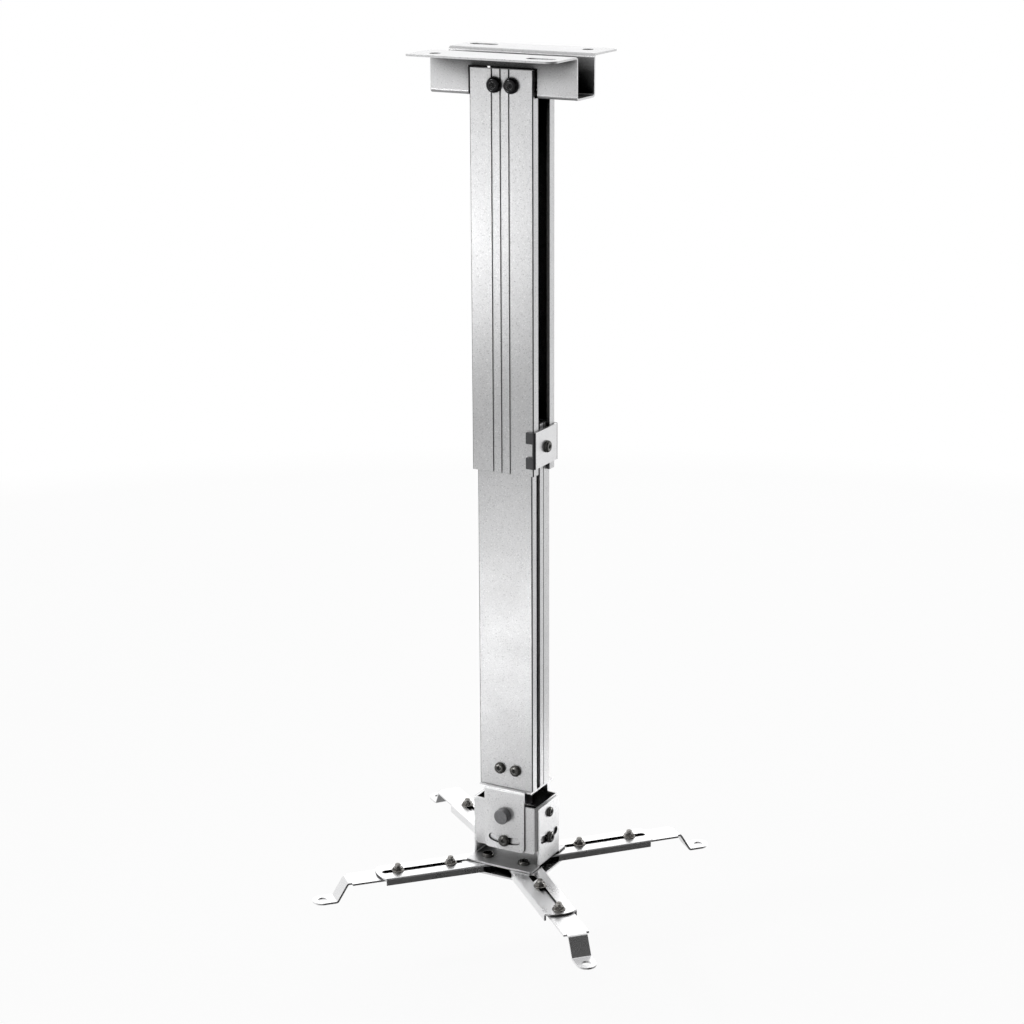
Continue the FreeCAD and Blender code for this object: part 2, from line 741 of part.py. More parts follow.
def yoke():
    """The inverted U under the column, whose front and rear ears hold the cross block."""
    body = new_body("yoke")
    inner = f"({YOKE_HALF} - head_sheet)"
    under = "(pivot_drop - head_sheet)"
    section = new_sketch(body, "section", "YZ_Plane")
    polygon(section, [
        (f"-{YOKE_HALF}", "-ear_fall"), (f"-{YOKE_HALF}", "pivot_drop"), (YOKE_HALF, "pivot_drop"),
        (YOKE_HALF, "-ear_fall"), (inner, "-ear_fall"), (inner, under),
        (f"-{inner}", under), (f"-{inner}", "-ear_fall"),
    ])
    pad(body, section, "ear_width")
    round_edges(body, "head_bend", "inner_bends", edge_near("x", [(inner, under), (f"-{inner}", under)]))
    round_edges(body, "head_bend + head_sheet", "outer_bends",
                edge_near("x", [(YOKE_HALF, "pivot_drop"), (f"-{YOKE_HALF}", "pivot_drop")]))
    round_edges(body, "ear_corner", "ear_corners", edge_near("y", [
        ("ear_width / 2", "-ear_fall"), ("-ear_width / 2", "-ear_fall"),
    ]))
    wings = new_sketch(body, "wings", "XY_Plane", under)
    edge = f"({YOKE_HALF} - wing_setback)"
    rectangle(wings, "ear_width / 2", f"-{edge}", YOKE_HALF_WIDTH, edge)
    rectangle(wings, f"-{YOKE_HALF_WIDTH}", f"-{edge}", "-ear_width / 2", edge)
    pad(body, wings, "head_sheet", "One side")
    pivots = new_sketch(body, "pivots", "XZ_Plane")
    circle(pivots, "0", "0", "pin_radius + turn_gap")
    cut_through(body, pivots)
    bolts = new_sketch(body, "bolts", "XY_Plane")
    for sign in ("-", ""):
        circle(bolts, f"{sign}yoke_bolt_spacing / 2", "-head_shift", "column_bolt_radius + thread_fit")
    cut_through(body, bolts)
    cut_arc_slots(body, "YZ_Plane", f"({YOKE_HALF} + 1)", "lock_radius")
    place(body, y="head_shift", z=PIVOT)
    return body


def cross_block():
    """The folded ring between yoke and base, open above and below."""
    body = new_body("cross_block")
    width = "block_width / 2"
    depth = "block_depth / 2"
    outer = new_sketch(body, "outer", "XY_Plane", "-block_fall")
    rectangle(outer, f"-{width}", f"-{depth}", width, depth)
    pad(body, outer, "block_rise + block_fall", "One side")
    round_edges(body, "block_corner", "outer_bends", edge_at("z", x=width, y=depth))
    inner = new_sketch(body, "inner", "XY_Plane")
    inner_width = f"({width} - head_sheet)"
    inner_depth = f"({depth} - head_sheet)"
    rectangle(inner, f"-{inner_width}", f"-{inner_depth}", inner_width, inner_depth)
    cut_through(body, inner)
    round_edges(body, "block_corner - head_sheet", "inner_bends",
                edge_at("z", x=inner_width, y=inner_depth))
    corners = new_sketch(body, "corner_cuts", "XZ_Plane")
    for sign in ("-", ""):
        beyond = f"{sign}({width} + 1)"
        start = f"{sign}({width} - block_notch)"
        polygon(corners, [
            (start, "-block_fall"), (f"{sign}{width}", "-block_fall + block_notch"),
            (beyond, "-block_fall + block_notch"), (beyond, "-block_fall - 1"), (start, "-block_fall - 1"),
        ])
    cut_through(body, corners)
    pins = new_sketch(body, "pins", "XZ_Plane")
    circle(pins, "0", "0", "pin_neck_radius + thread_fit")
    circle(pins, "0", "-lock_radius", "small_radius + thread_fit")
    cut_through(body, pins)
    bolts = new_sketch(body, "bolts", "YZ_Plane")
    circle(bolts, "0", "side_pivot_rise", "small_radius + thread_fit")
    circle(bolts, "0", "side_pivot_rise - side_lock_radius", "small_radius + thread_fit")
    cut_through(body, bolts)
    place(body, y="head_shift", z=PIVOT)
    return body


def hub_holes(sketch, middle):
    """Draws the four arm screws' holes about a middle given as a Y expression."""
    for x_sign in ("-", ""):
        for y_sign in ("-", "+"):
            circle(sketch, f"{x_sign}hub_spacing_across / 2", f"{middle} {y_sign} hub_spacing_deep / 2",
                   "small_radius + thread_fit")


def base_bracket():
    """The upright U under the cross block, whose base carries the arms."""
    body = new_body("base_bracket")
    inner = f"({BASE_HALF} - head_sheet)"
    bottom = "(-base_fall - head_sheet)"
    section = new_sketch(body, "section", "XZ_Plane")
    polygon(section, [
        (f"-{BASE_HALF}", bottom), (BASE_HALF, bottom), (BASE_HALF, "base_ear_rise"),
        (inner, "base_ear_rise"), (inner, "-base_fall"), (f"-{inner}", "-base_fall"),
        (f"-{inner}", "base_ear_rise"), (f"-{BASE_HALF}", "base_ear_rise"),
    ])
    pad(body, section, "base_ear_depth")
    round_edges(body, "head_bend", "inner_bends",
                edge_near("y", [(inner, "-base_fall"), (f"-{inner}", "-base_fall")]))
    round_edges(body, "head_bend + head_sheet", "outer_bends",
                edge_near("y", [(BASE_HALF, bottom), (f"-{BASE_HALF}", bottom)]))
    round_edges(body, "base_corner", "ear_corners", edge_at("x", y="base_ear_depth / 2", z="base_ear_rise"))
    wings = new_sketch(body, "wings", "XY_Plane", bottom)
    front = "(hub_shift - head_shift - base_depth / 2)"
    rear = "(hub_shift - head_shift + base_depth / 2)"
    rectangle(wings, f"-{BASE_HALF}", front, BASE_HALF, "-base_ear_depth / 2")
    rectangle(wings, f"-{BASE_HALF}", "base_ear_depth / 2", BASE_HALF, rear)
    pad(body, wings, "head_sheet", "One side")
    round_edges(body, "base_corner", "plate_corners", edge_near("z", [
        (f"{x_sign}{BASE_HALF}", y) for x_sign in ("-", "") for y in (front, rear)
    ]))
    screws = new_sketch(body, "screws", "XY_Plane")
    hub_holes(screws, "hub_shift - head_shift")
    cut_through(body, screws)
    pivots = new_sketch(body, "pivots", "YZ_Plane")
    circle(pivots, "0", "0", "small_radius + turn_gap")
    cut_through(body, pivots)
    cut_arc_slots(body, "XZ_Plane", f"({BASE_HALF} + 1)", "side_lock_radius")
    place(body, y="head_shift", z=SIDE_PIVOT)
    return body


def hub_plate():
    """The flat plate below the arms that the arm screws draw up."""
    body = new_body("hub_plate")
    outline = new_sketch(body, "outline", "XY_Plane")
    rectangle(outline, "-hub_plate_width / 2", "-hub_plate_depth / 2",
              "hub_plate_width / 2", "hub_plate_depth / 2")
    hub_holes(outline, "0")
    pad(body, outline, "hub_plate_sheet", "One side", reverse=True)
    round_edges(body, "hub_plate_corner", "corners",
                edge_at("z", x="hub_plate_width / 2", y="hub_plate_depth / 2"))
    place(body, y="hub_shift", z=HUB_PLATE_TOP)
    return body


def arm_place(name, x_side, y_side, reach="0"):
    """Where an arm's pivot lies, drawn out along the arm by a reach."""
    angle = f"angle_{name} * 1 deg"
    across = "" if x_side > 0 else "-"
    deep = "+" if y_side > 0 else "-"
    x = f"{across}(hub_spacing_across / 2 + {reach} * sin({angle}))"
    y = f"hub_shift {deep} (hub_spacing_deep / 2 + {reach} * cos({angle}))"
    turn = f"{90 * y_side} - ({x_side * y_side}) * angle_{name}"
    return x, y, turn


def arm_channel(name, x_side, y_side):
    """A slotted arm of folded sheet, open below, round at both ends."""
    body = new_body(f"arm_{name}")
    half = "arm_width / 2"
    plate = new_sketch(body, "plate", "XY_Plane")
    first = plate.GeometryCount
    corners = [("arm_length", half), ("0", half), ("0", f"-{half}"), ("arm_length", f"-{half}")]
    points = [FreeCAD.Vector(value(x), value(y), 0) for x, y in corners]
    for start, end in zip(points, points[1:]):
        plate.addGeometry(Part.LineSegment(start, end), False)
    sag = value("arm_end_radius - sqrt(arm_end_radius * arm_end_radius - arm_width * arm_width / 4)")
    tip = FreeCAD.Vector(value("arm_length") + sag, 0, 0)
    plate.addGeometry(Part.Arc(points[3], tip, points[0]), False)
    for index in range(3):
        plate.addConstraint(Sketcher.Constraint("Coincident", first + index, 2, first + index + 1, 1))
    plate.addConstraint(Sketcher.Constraint("Coincident", first + 3, 2, first, 1))
    for index, (x, y) in enumerate(corners[:3]):
        pin(plate, first + index, 1, x, y)
    pin(plate, first + 2, 2, *corners[3])
    set_radius(plate, first + 3, "arm_end_radius")
    pad(body, plate, "arm_sheet", "One side", reverse=True)
    eye = new_sketch(body, "eye", "XY_Plane")
    circle(eye, "0", "0", half)
    pad(body, eye, "arm_sheet", "One side", reverse=True)
    flanges = new_sketch(body, "flanges", "XY_Plane")
    inner = f"({half} - arm_sheet)"
    rectangle(flanges, "arm_flange_start", f"-{half}", "arm_length", f"-{inner}")
    rectangle(flanges, "arm_flange_start", inner, "arm_length", half)
    pad(body, flanges, "arm_height", "One side", reverse=True)
    round_edges(body, "arm_bend", "bends", edge_at("x", y=half, z="0"))
    slot = new_sketch(body, "slot", "XY_Plane")
    radius = "(small_radius + arm_slot_gap)"
    end = "(arm_length - arm_slot_margin)"
    long_hole(slot, f"(arm_slot_start + {end}) / 2", "0", f"({end} - arm_slot_start) / 2", radius)
    cut_through(body, slot)
    pivot = new_sketch(body, "pivot", "XY_Plane")
    circle(pivot, "0", "0", "small_radius + turn_gap")
    cut_through(body, pivot)
    x, y, turn = arm_place(name, x_side, y_side)
    place(body, x, y, ARM_TOP, (0, 0, 1), turn)
    return body


def extension_bar(name, x_side, y_side):
    """The flat bar under an arm, stepped down to a round foot with a hole."""
    body = new_body(f"bar_{name}")
    start = "(bar_bolt_inner - bar_inner_end)"
    bend = "(bar_bolt_inner + bar_bolt_spacing + bar_neck)"
    landing = f"({bend} + joggle_run)"
    hole = f"({landing} + foot_hole_reach)"
    tip = f"({hole} + foot_tip_reach)"
    slope = "sqrt(joggle_run * joggle_run + joggle_drop * joggle_drop)"
    mitre = f"(bar_sheet * ({slope} - joggle_run) / joggle_drop)"
    section = new_sketch(body, "section", "XZ_Plane")
    polygon(section, [
        (start, "0"), (bend, "0"), (landing, "-joggle_drop"), (tip, "-joggle_drop"),
        (tip, "-joggle_drop - bar_sheet"), (f"({landing} - {mitre})", "-joggle_drop - bar_sheet"),
        (f"({bend} - {mitre})", "-bar_sheet"), (start, "-bar_sheet"),
    ])
    pad(body, section, "bar_width")
    round_edges(body, "bar_bend", "inner_bends", edge_near("y", [
        (f"{bend} - {mitre}", "-bar_sheet"), (landing, "-joggle_drop"),
    ]))
    round_edges(body, "bar_bend + bar_sheet", "outer_bends", edge_near("y", [
        (bend, "0"), (f"{landing} - {mitre}", "-joggle_drop - bar_sheet"),
    ]))
    sides = new_sketch(body, "sides", "XY_Plane")
    shoulder = f"({bend} - bar_shoulder)"
    for sign in ("-", ""):
        rectangle(sides, shoulder, f"{sign}bar_foot_width / 2", f"({tip} + 1)", f"{sign}bar_width")
    cut_through(body, sides)
    round_edges(body, "foot_end_round", "foot_end", edge_near("z", [
        (tip, "bar_foot_width / 2"), (tip, "-bar_foot_width / 2"),
    ]))
    round_edges(body, "base_corner", "inner_end", edge_near("z", [
        (start, "bar_width / 2"), (start, "-bar_width / 2"),
    ]))
    holes = new_sketch(body, "holes", "XY_Plane")
    circle(holes, "bar_bolt_inner", "0", "small_radius + thread_fit")
    circle(holes, "bar_bolt_inner + bar_bolt_spacing", "0", "small_radius + thread_fit")
    circle(holes, hole, "0", "foot_hole_radius")
    cut_through(body, holes)
    x, y, turn = arm_place(name, x_side, y_side, f"reach_{name} * {SLOT_SPARE}")
    place(body, x, y, BAR_TOP, (0, 0, 1), turn)
    return body


def bar_fasteners(name, x_side, y_side, bolt, nut):
    """The two bolts that stand up through a bar and its arm, and their nuts."""
    inner_bolt = f"reach_{name} * {SLOT_SPARE} + bar_bolt_inner"
    inner = arm_place(name, x_side, y_side, f"({inner_bolt})")
    outer = arm_place(name, x_side, y_side, f"({inner_bolt} + bar_bolt_spacing)")
    seats = (inner[:2], outer[:2])
    under = f"({BAR_TOP} - bar_sheet)"
    bolts = set_of(f"bar_bolts_{name}", bolt, [("down", x, y, under) for x, y in seats])
    nuts = set_of(f"bar_nuts_{name}", nut, [("up", x, y, f"({ARM_TOP} + face_gap / 2)") for x, y in seats])
    return [bolts, nuts]


def four_hub_seats(facing, level):
    """The four arm pivots at a level."""
    return [(facing, f"{x}hub_spacing_across / 2", f"hub_shift {y} hub_spacing_deep / 2", level)
            for x in ("-", "") for y in ("-", "+")]


def ceiling_pieces():
    """What stays on the ceiling."""
    bolt_length = "column_wall + bracket_sheet + large_nut_height"
    bolt = socket_screw("column_bolt", "column_bolt_radius", bolt_length,
                        "button_head_radius", "button_head_height", "button_socket")
    nut = hexagon_nut("column_nut", "large_nut", "large_nut_height", "column_bolt_radius")
    xs = [f"bolt_shift {sign} column_bolt_spacing / 2" for sign in ("-", "+")]
    level = "-column_bolt_drop"
    face = "column_depth / 2"
    inside = f"({CHANNEL_HALF} - bracket_sheet)"
    bolts = set_of("column_bolts", bolt, [
        (way, x, f"{sign}{face}", level) for way, sign in (("front", "-"), ("rear", "")) for x in xs
    ])
    nuts = set_of("column_nuts", nut, [
        (way, x, f"{sign}{inside}", level) for way, sign in (("rear", "-"), ("front", "")) for x in xs
    ])
    return [ceiling_bracket(), outer_column(), bolts, nuts], [bolt, nut]


def sliding_pieces():
    """What slides with the inner column."""
    clamp_stack = f"(column_width / 2 + face_gap + clamp_sheet - {INNER_HALF_WIDTH})"
    clamp_length = f"{clamp_stack} + inner_wall + small_nut_height"
    clamp_bolt = socket_screw("clamp_bolt", "small_radius", clamp_length,
                              "pan_head_radius", "pan_head_height", "pan_socket")
    small_nut = hexagon_nut("small_nut", "small_nut", "small_nut_height", "small_radius")
    clamp_screw = set_of("clamp_screw", clamp_bolt,
                         [("right", "column_width / 2 + face_gap + clamp_sheet", "0", CLAMP_MIDDLE)])
    clamp_nut = set_of("clamp_nut", small_nut,
                       [("left", f"{INNER_HALF_WIDTH} - inner_wall", "0", CLAMP_MIDDLE)])
    foot_bolt = socket_screw("foot_bolt", "small_radius", "inner_wall + foot_sheet + foot_screw_spare",
                             "pan_head_radius", "pan_head_height", "pan_socket")
    xs = [f"bolt_shift {sign} foot_screw_spacing / 2" for sign in ("-", "+")]
    level = f"{INNER_BOTTOM} + foot_screw_rise"
    foot_screws = set_of("foot_screws", foot_bolt, [
        (way, x, f"{sign}{INNER_HALF_DEPTH}", level)
        for way, sign in (("front", "-"), ("rear", "")) for x in xs
    ])
    yoke_length = "head_sheet + foot_sheet + large_nut_height"
    yoke_bolt = socket_screw("yoke_bolt", "column_bolt_radius", yoke_length,
                             "button_head_radius", "button_head_height", "button_socket")
    yoke_nut = hexagon_nut("yoke_nut", "large_nut", "large_nut_height", "column_bolt_radius")
    spots = [f"{sign}yoke_bolt_spacing / 2" for sign in ("-", "")]
    yoke_bolts = set_of("yoke_bolts", yoke_bolt,
                        [("down", x, "0", f"{INNER_BOTTOM} - head_sheet") for x in spots])
    yoke_nuts = set_of("yoke_nuts", yoke_nut,
                       [("up", x, "0", f"{INNER_BOTTOM} + foot_sheet") for x in spots])
    pieces = [inner_column(), clamp_plate(), clamp_block(), clamp_screw, clamp_nut,
              column_foot(), foot_screws, yoke(), yoke_bolts, yoke_nuts]
    return pieces, [clamp_bolt, small_nut, foot_bolt, yoke_bolt, yoke_nut], small_nut


def tilting_pieces(small_nut):
    """The cross block with its pins, locking screws and through bolt."""
    reach = "(face_gap + head_sheet + pin_reach)"
    rivet = "(-head_sheet - pin_rivet_height)"
    pin_body = turned("roll_pin", [
        ("0", rivet), ("pin_rivet_radius", rivet), ("pin_rivet_radius", "-head_sheet"),
        ("pin_neck_radius", "-head_sheet"), ("pin_neck_radius", "0"), ("pin_radius", "0"),
        ("pin_radius", f"{reach} - pin_chamfer"), ("pin_radius - pin_chamfer", reach), ("0", reach),
    ])
    roll_pins = set_of("roll_pins", pin_body, [
        ("front", "0", "head_shift - block_depth / 2", PIVOT),
        ("rear", "0", "head_shift + block_depth / 2", PIVOT),
    ])
    stack = "(turn_gap + 2 * head_sheet + face_gap + small_nut_height)"
    lock_bolt = socket_screw("lock_bolt", "small_radius", stack,
                             "pan_head_radius", "pan_head_height", "pan_socket")
    front_level = f"{PIVOT} - lock_radius"
    side_level = f"{SIDE_PIVOT} - side_lock_radius"
    seat_deep = f"({YOKE_HALF} + turn_gap)"
    seat_wide = f"({BASE_HALF} + turn_gap)"
    inside_deep = "(block_depth / 2 - head_sheet)"
    inside_wide = "(block_width / 2 - head_sheet)"
    roll_screws = set_of("roll_lock_screws", lock_bolt, [
        ("front", "0", f"head_shift - {seat_deep}", front_level),
        ("rear", "0", f"head_shift + {seat_deep}", front_level),
    ])
    roll_nuts = set_of("roll_lock_nuts", small_nut, [
        ("rear", "0", f"head_shift - {inside_deep}", front_level),
        ("front", "0", f"head_shift + {inside_deep}", front_level),
    ])
    pitch_screws = set_of("pitch_lock_screws", lock_bolt, [
        ("left", f"-{seat_wide}", "head_shift", side_level),
        ("right", seat_wide, "head_shift", side_level),
    ])
    pitch_nuts = set_of("pitch_lock_nuts", small_nut, [
        ("right", f"-{inside_wide}", "head_shift", side_level),
        ("left", inside_wide, "head_shift", side_level),
    ])
    through_length = f"2 * {seat_wide} + flange_height + flange_nut_height + stud_end"
    through = socket_screw("through_bolt", "small_radius", through_length,
                           "pan_head_radius - through_head_less", "pan_head_height - through_head_less",
                           "pan_socket")
    end_nut = flange_nut("flange_nut_pattern")
    pitch_bolt = set_of("pitch_bolt", through, [("right", seat_wide, "head_shift", SIDE_PIVOT)])
    pitch_nut = set_of("pitch_nut", end_nut, [("left", f"-{seat_wide}", "head_shift", SIDE_PIVOT)])
    pieces = [cross_block(), roll_pins, roll_screws, roll_nuts,
              pitch_screws, pitch_nuts, pitch_bolt, pitch_nut]
    return pieces, [pin_body, lock_bolt, through, end_nut], end_nut


def hub_pieces(small_nut):
    """The base bracket and what the arms turn between."""
    length = "head_sheet + hub_gap + hub_plate_sheet + small_nut_height"
    hub_bolt = socket_screw("hub_bolt", "small_radius", length,
                            "pan_head_radius", "pan_head_height", "pan_socket")
    screws = set_of("arm_screws", hub_bolt, four_hub_seats("up", BASE_TOP))
    bush = turned("hub_bush", [
        ("small_radius + thread_fit", "0"), ("spacer_radius", "0"),
        ("spacer_radius", "hub_gap - 3 * face_gap - arm_sheet"),
        ("small_radius + thread_fit", "hub_gap - 3 * face_gap - arm_sheet"),
    ])
    spacers = set_of("arm_spacers", bush, four_hub_seats("up", HUB_PLATE_TOP))
    nuts = set_of("arm_screw_nuts", small_nut, four_hub_seats("down", f"{HUB_PLATE_TOP} - hub_plate_sheet"))
    return [base_bracket(), hub_plate(), screws, spacers, nuts], [hub_bolt, bush]


def arm_pieces(end_nut):
    """The four arms with their bars, bolts and nuts."""
    grip = "(bar_sheet + arm_sheet + 2 * face_gap)"
    shank = f"({grip} + flange_height + flange_nut_height + stud_end)"
    stud = turned("bar_bolt", [
        ("0", f"-{shank}"), ("small_radius - stud_chamfer", f"-{shank}"),
        ("small_radius", f"-{shank} + stud_chamfer"), ("small_radius", "0"),
        ("pan_head_radius", "0"), ("pan_head_radius", "stud_head_height * head_rim_share"),
        ("pan_head_radius * head_crown_share", "stud_head_height"), ("0", "stud_head_height"),
    ])
    pieces = []
    for name, x_side, y_side in ARMS:
        pieces += [arm_channel(name, x_side, y_side), extension_bar(name, x_side, y_side)]
        pieces += bar_fasteners(name, x_side, y_side, stud, end_nut)
    return pieces, [stud]


def check(pieces):
    """Stops with a message if anything in the document failed."""
    for item in doc.Objects:
        if "Invalid" in item.State or "Error" in item.State:
            raise ValueError(f"{item.Label} failed: {item.State}")
    for piece in pieces:
        shape = piece.Shape
        if shape.isNull() or not shape.isValid() or not shape.Solids:
            raise ValueError(f"{piece.Label} has no valid solid")


def main():
    """Builds every piece, checks it and writes one file for each node."""
    fixed, fixed_patterns = ceiling_pieces()
    sliding, sliding_patterns, small_nut = sliding_pieces()
    tilting, tilting_patterns, end_nut = tilting_pieces(small_nut)
    hub, hub_patterns = hub_pieces(small_nut)
    arms, arm_patterns = arm_pieces(end_nut)
    for pattern in fixed_patterns + sliding_patterns + tilting_patterns + hub_patterns + arm_patterns:
        pattern.Label = f"pattern_{pattern.Name}"
    doc.recompute()
    pieces = fixed + sliding + tilting + hub + arms
    check(pieces)
    os.makedirs("parts", exist_ok=True)
    for piece in pieces:
        piece.Shape.exportStep(f"parts/{piece.Label}.step")
        box = piece.Shape.BoundBox
        print(f"{piece.Label}: {len(piece.Shape.Solids)} solids, {piece.Shape.Volume / 1000:.2f} cm3, "
              f"z {box.ZMin:.1f} to {box.ZMax:.1f}")


main()
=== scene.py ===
import math

import bmesh
import bpy
from mathutils import Matrix, Vector


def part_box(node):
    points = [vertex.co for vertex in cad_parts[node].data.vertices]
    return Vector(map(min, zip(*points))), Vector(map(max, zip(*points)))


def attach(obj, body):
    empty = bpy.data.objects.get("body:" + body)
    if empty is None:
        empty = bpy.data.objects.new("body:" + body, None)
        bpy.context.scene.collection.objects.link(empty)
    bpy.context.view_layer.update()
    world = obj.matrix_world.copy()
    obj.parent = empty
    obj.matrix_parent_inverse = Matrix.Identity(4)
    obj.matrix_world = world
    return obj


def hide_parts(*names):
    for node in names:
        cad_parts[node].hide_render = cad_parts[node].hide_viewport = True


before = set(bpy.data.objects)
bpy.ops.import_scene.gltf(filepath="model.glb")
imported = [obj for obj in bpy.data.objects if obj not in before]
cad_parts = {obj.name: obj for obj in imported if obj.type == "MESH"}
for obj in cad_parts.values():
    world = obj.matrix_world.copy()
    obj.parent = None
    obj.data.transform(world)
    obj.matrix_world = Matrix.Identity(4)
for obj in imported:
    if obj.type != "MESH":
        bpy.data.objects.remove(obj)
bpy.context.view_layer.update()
MM = 0.001
ARM_NAMES = ("front_left", "front_right", "rear_right", "rear_left")

# Places of the colour sockets on a Mix node.
MIX_FACTOR, MIX_FIRST, MIX_SECOND, MIX_RESULT = 0, 6, 7, 2


def feed(tree, target, value):
    """Links a socket into an input, or sets the input to a number or colour."""
    if isinstance(value, (int, float, tuple)):
        target.default_value = value
    else:
        tree.links.new(value, target)


def math_node(tree, operation, first, second=None, clamp=False):
    """A Math node whose inputs are sockets or numbers."""
    node = tree.nodes.new("ShaderNodeMath")
    node.operation = operation
    node.use_clamp = clamp
    feed(tree, node.inputs[0], first)
    if second is not None:
        feed(tree, node.inputs[1], second)
    return node.outputs[0]


def mix_colours(tree, factor, first, second):
    """A colour Mix node whose inputs are sockets, numbers or colours."""
    node = tree.nodes.new("ShaderNodeMix")
    node.data_type = "RGBA"
    for index, value in ((MIX_FACTOR, factor), (MIX_FIRST, first), (MIX_SECOND, second)):
        feed(tree, node.inputs[index], value)
    return node.outputs[MIX_RESULT]


def dot_product(tree, first, second):
    """How far two directions agree, from -1 to 1."""
    node = tree.nodes.new("ShaderNodeVectorMath")
    node.operation = "DOT_PRODUCT"
    feed(tree, node.inputs[0], first)
    feed(tree, node.inputs[1], second)
    return node.outputs["Value"]


def split_axes(tree, vector):
    """The X, Y and Z of a vector socket."""
    parts = tree.nodes.new("ShaderNodeSeparateXYZ")
    tree.links.new(vector, parts.inputs[0])
    return parts.outputs


def own_place(tree):
    """The place on the object's own coordinates."""
    return tree.nodes.new("ShaderNodeTexCoord").outputs["Object"]


def noise(tree, scale, detail=2.0, roughness=0.5):
    """Noise on the object's own coordinates, at a scale per metre."""
    node = tree.nodes.new("ShaderNodeTexNoise")
    node.inputs["Detail"].default_value = detail
    node.inputs["Roughness"].default_value = roughness
    tree.links.new(own_place(tree), node.inputs["Vector"])
    feed(tree, node.inputs["Scale"], scale)
    return node.outputs["Fac"]


def spread(tree, value, low, high):
    """Stretches a mask so that low turns 0 and high turns 1."""
    node = tree.nodes.new("ShaderNodeMapRange")
    node.inputs["From Min"].default_value = low
    node.inputs["From Max"].default_value = high
    tree.links.new(value, node.inputs["Value"])
    return node.outputs["Result"]


def new_group(name, inputs, outputs):
    """A shader node group with its sockets made, and its input and output nodes."""
    group = bpy.data.node_groups.new(name, "ShaderNodeTree")
    for label, kind, value in inputs:
        socket = group.interface.new_socket(label, in_out="INPUT", socket_type=f"NodeSocket{kind}")
        socket.default_value = value
    for label, kind in outputs:
        group.interface.new_socket(label, in_out="OUTPUT", socket_type=f"NodeSocket{kind}")
    return group, group.nodes.new("NodeGroupInput"), group.nodes.new("NodeGroupOutput")


def use_group(tree, group, **values):
    """Places a node group and sets or links its inputs."""
    node = tree.nodes.new("ShaderNodeGroup")
    node.node_tree = group
    for label, value in values.items():
        feed(tree, node.inputs[label], value)
    return node


DARK_GRAIN = (0.28, 0.28, 0.29, 1)
BRIGHT_GRAIN = (0.95, 0.95, 0.95, 1)
COAT_CLOUDS = (0.3, 0.3, 0.31, 1)
CLOUD_SHARE = 0.07


def make_powder_group():
    """Fine dark and bright grains of a powder coat, with their height."""
    group, given, result = new_group(
        "powder_grain",
        [("Colour", "Color", (0.6, 0.6, 0.6, 1)), ("Scale", "Float", 1500.0),
         ("Amount", "Float", 0.5)],
        [("Colour", "Color"), ("Height", "Float")])
    grain = noise(group, given.outputs["Scale"], 3.0, 0.7)
    dark = spread(group, grain, 0.42, 0.30)
    bright = spread(group, grain, 0.60, 0.72)
    clouds = spread(group, noise(group, 90.0, 3.0), 0.3, 0.7)
    dark_share = math_node(group, "MULTIPLY", dark, given.outputs["Amount"])
    bright_share = math_node(group, "MULTIPLY", bright, given.outputs["Amount"])
    cloud_share = math_node(group, "MULTIPLY", clouds, CLOUD_SHARE)
    shade = mix_colours(group, dark_share, given.outputs["Colour"], DARK_GRAIN)
    shine = mix_colours(group, bright_share, shade, BRIGHT_GRAIN)
    colour = mix_colours(group, cloud_share, shine, COAT_CLOUDS)
    group.links.new(colour, result.inputs["Colour"])
    group.links.new(grain, result.inputs["Height"])
    return group


def make_edge_group():
    """A mask of the narrow strips beside sharp edges and bends."""
    group, given, result = new_group(
        "edge_strips", [("Radius", "Float", 0.0006), ("Sharpness", "Float", 6.0)],
        [("Mask", "Float")])
    rounded = group.nodes.new("ShaderNodeBevel")
    rounded.samples = 6
    group.links.new(given.outputs["Radius"], rounded.inputs["Radius"])
    flat = group.nodes.new("ShaderNodeNewGeometry")
    agreement = dot_product(group, rounded.outputs["Normal"], flat.outputs["Normal"])
    away = math_node(group, "SUBTRACT", 1.0, agreement)
    mask = math_node(group, "MULTIPLY", away, given.outputs["Sharpness"], clamp=True)
    group.links.new(mask, result.inputs["Mask"])
    return group


def make_handling_group():
    """Soft smudges and fine rubbed lines that change the gloss."""
    group, given, result = new_group(
        "handling_marks", [("Roughness", "Float", 0.4), ("Amount", "Float", 0.1)],
        [("Roughness", "Float")])
    smudge = spread(group, noise(group, 35.0, 4.0, 0.6), 0.35, 0.7)
    fine = noise(group, 700.0, 2.0)
    marks = math_node(group, "ADD", smudge, math_node(group, "MULTIPLY", fine, 0.5))
    middle = math_node(group, "SUBTRACT", marks, 0.6)
    change = math_node(group, "MULTIPLY", middle, given.outputs["Amount"])
    rough = math_node(group, "ADD", given.outputs["Roughness"], change, clamp=True)
    group.links.new(rough, result.inputs["Roughness"])
    return group


def make_recess_group():
    """Darkens the colour inside slots, channels and narrow gaps."""
    group, given, result = new_group(
        "recess_shade",
        [("Colour", "Color", (0.6, 0.6, 0.6, 1)), ("Reach", "Float", 0.025),
         ("Start", "Float", 0.2), ("End", "Float", 0.8), ("Deepest", "Float", 0.03)],
        [("Colour", "Color")])
    open_sky = group.nodes.new("ShaderNodeAmbientOcclusion")
    open_sky.samples = 16
    group.links.new(given.outputs["Reach"], open_sky.inputs["Distance"])
    curve = group.nodes.new("ShaderNodeMapRange")
    curve.interpolation_type = "SMOOTHSTEP"
    group.links.new(open_sky.outputs["AO"], curve.inputs["Value"])
    group.links.new(given.outputs["Start"], curve.inputs["From Min"])
    group.links.new(given.outputs["End"], curve.inputs["From Max"])
    group.links.new(given.outputs["Deepest"], curve.inputs["To Min"])
    shaded = mix_colours(group, curve.outputs["Result"], (0.0, 0.0, 0.0, 1),
                         given.outputs["Colour"])
    group.links.new(shaded, result.inputs["Colour"])
    return group


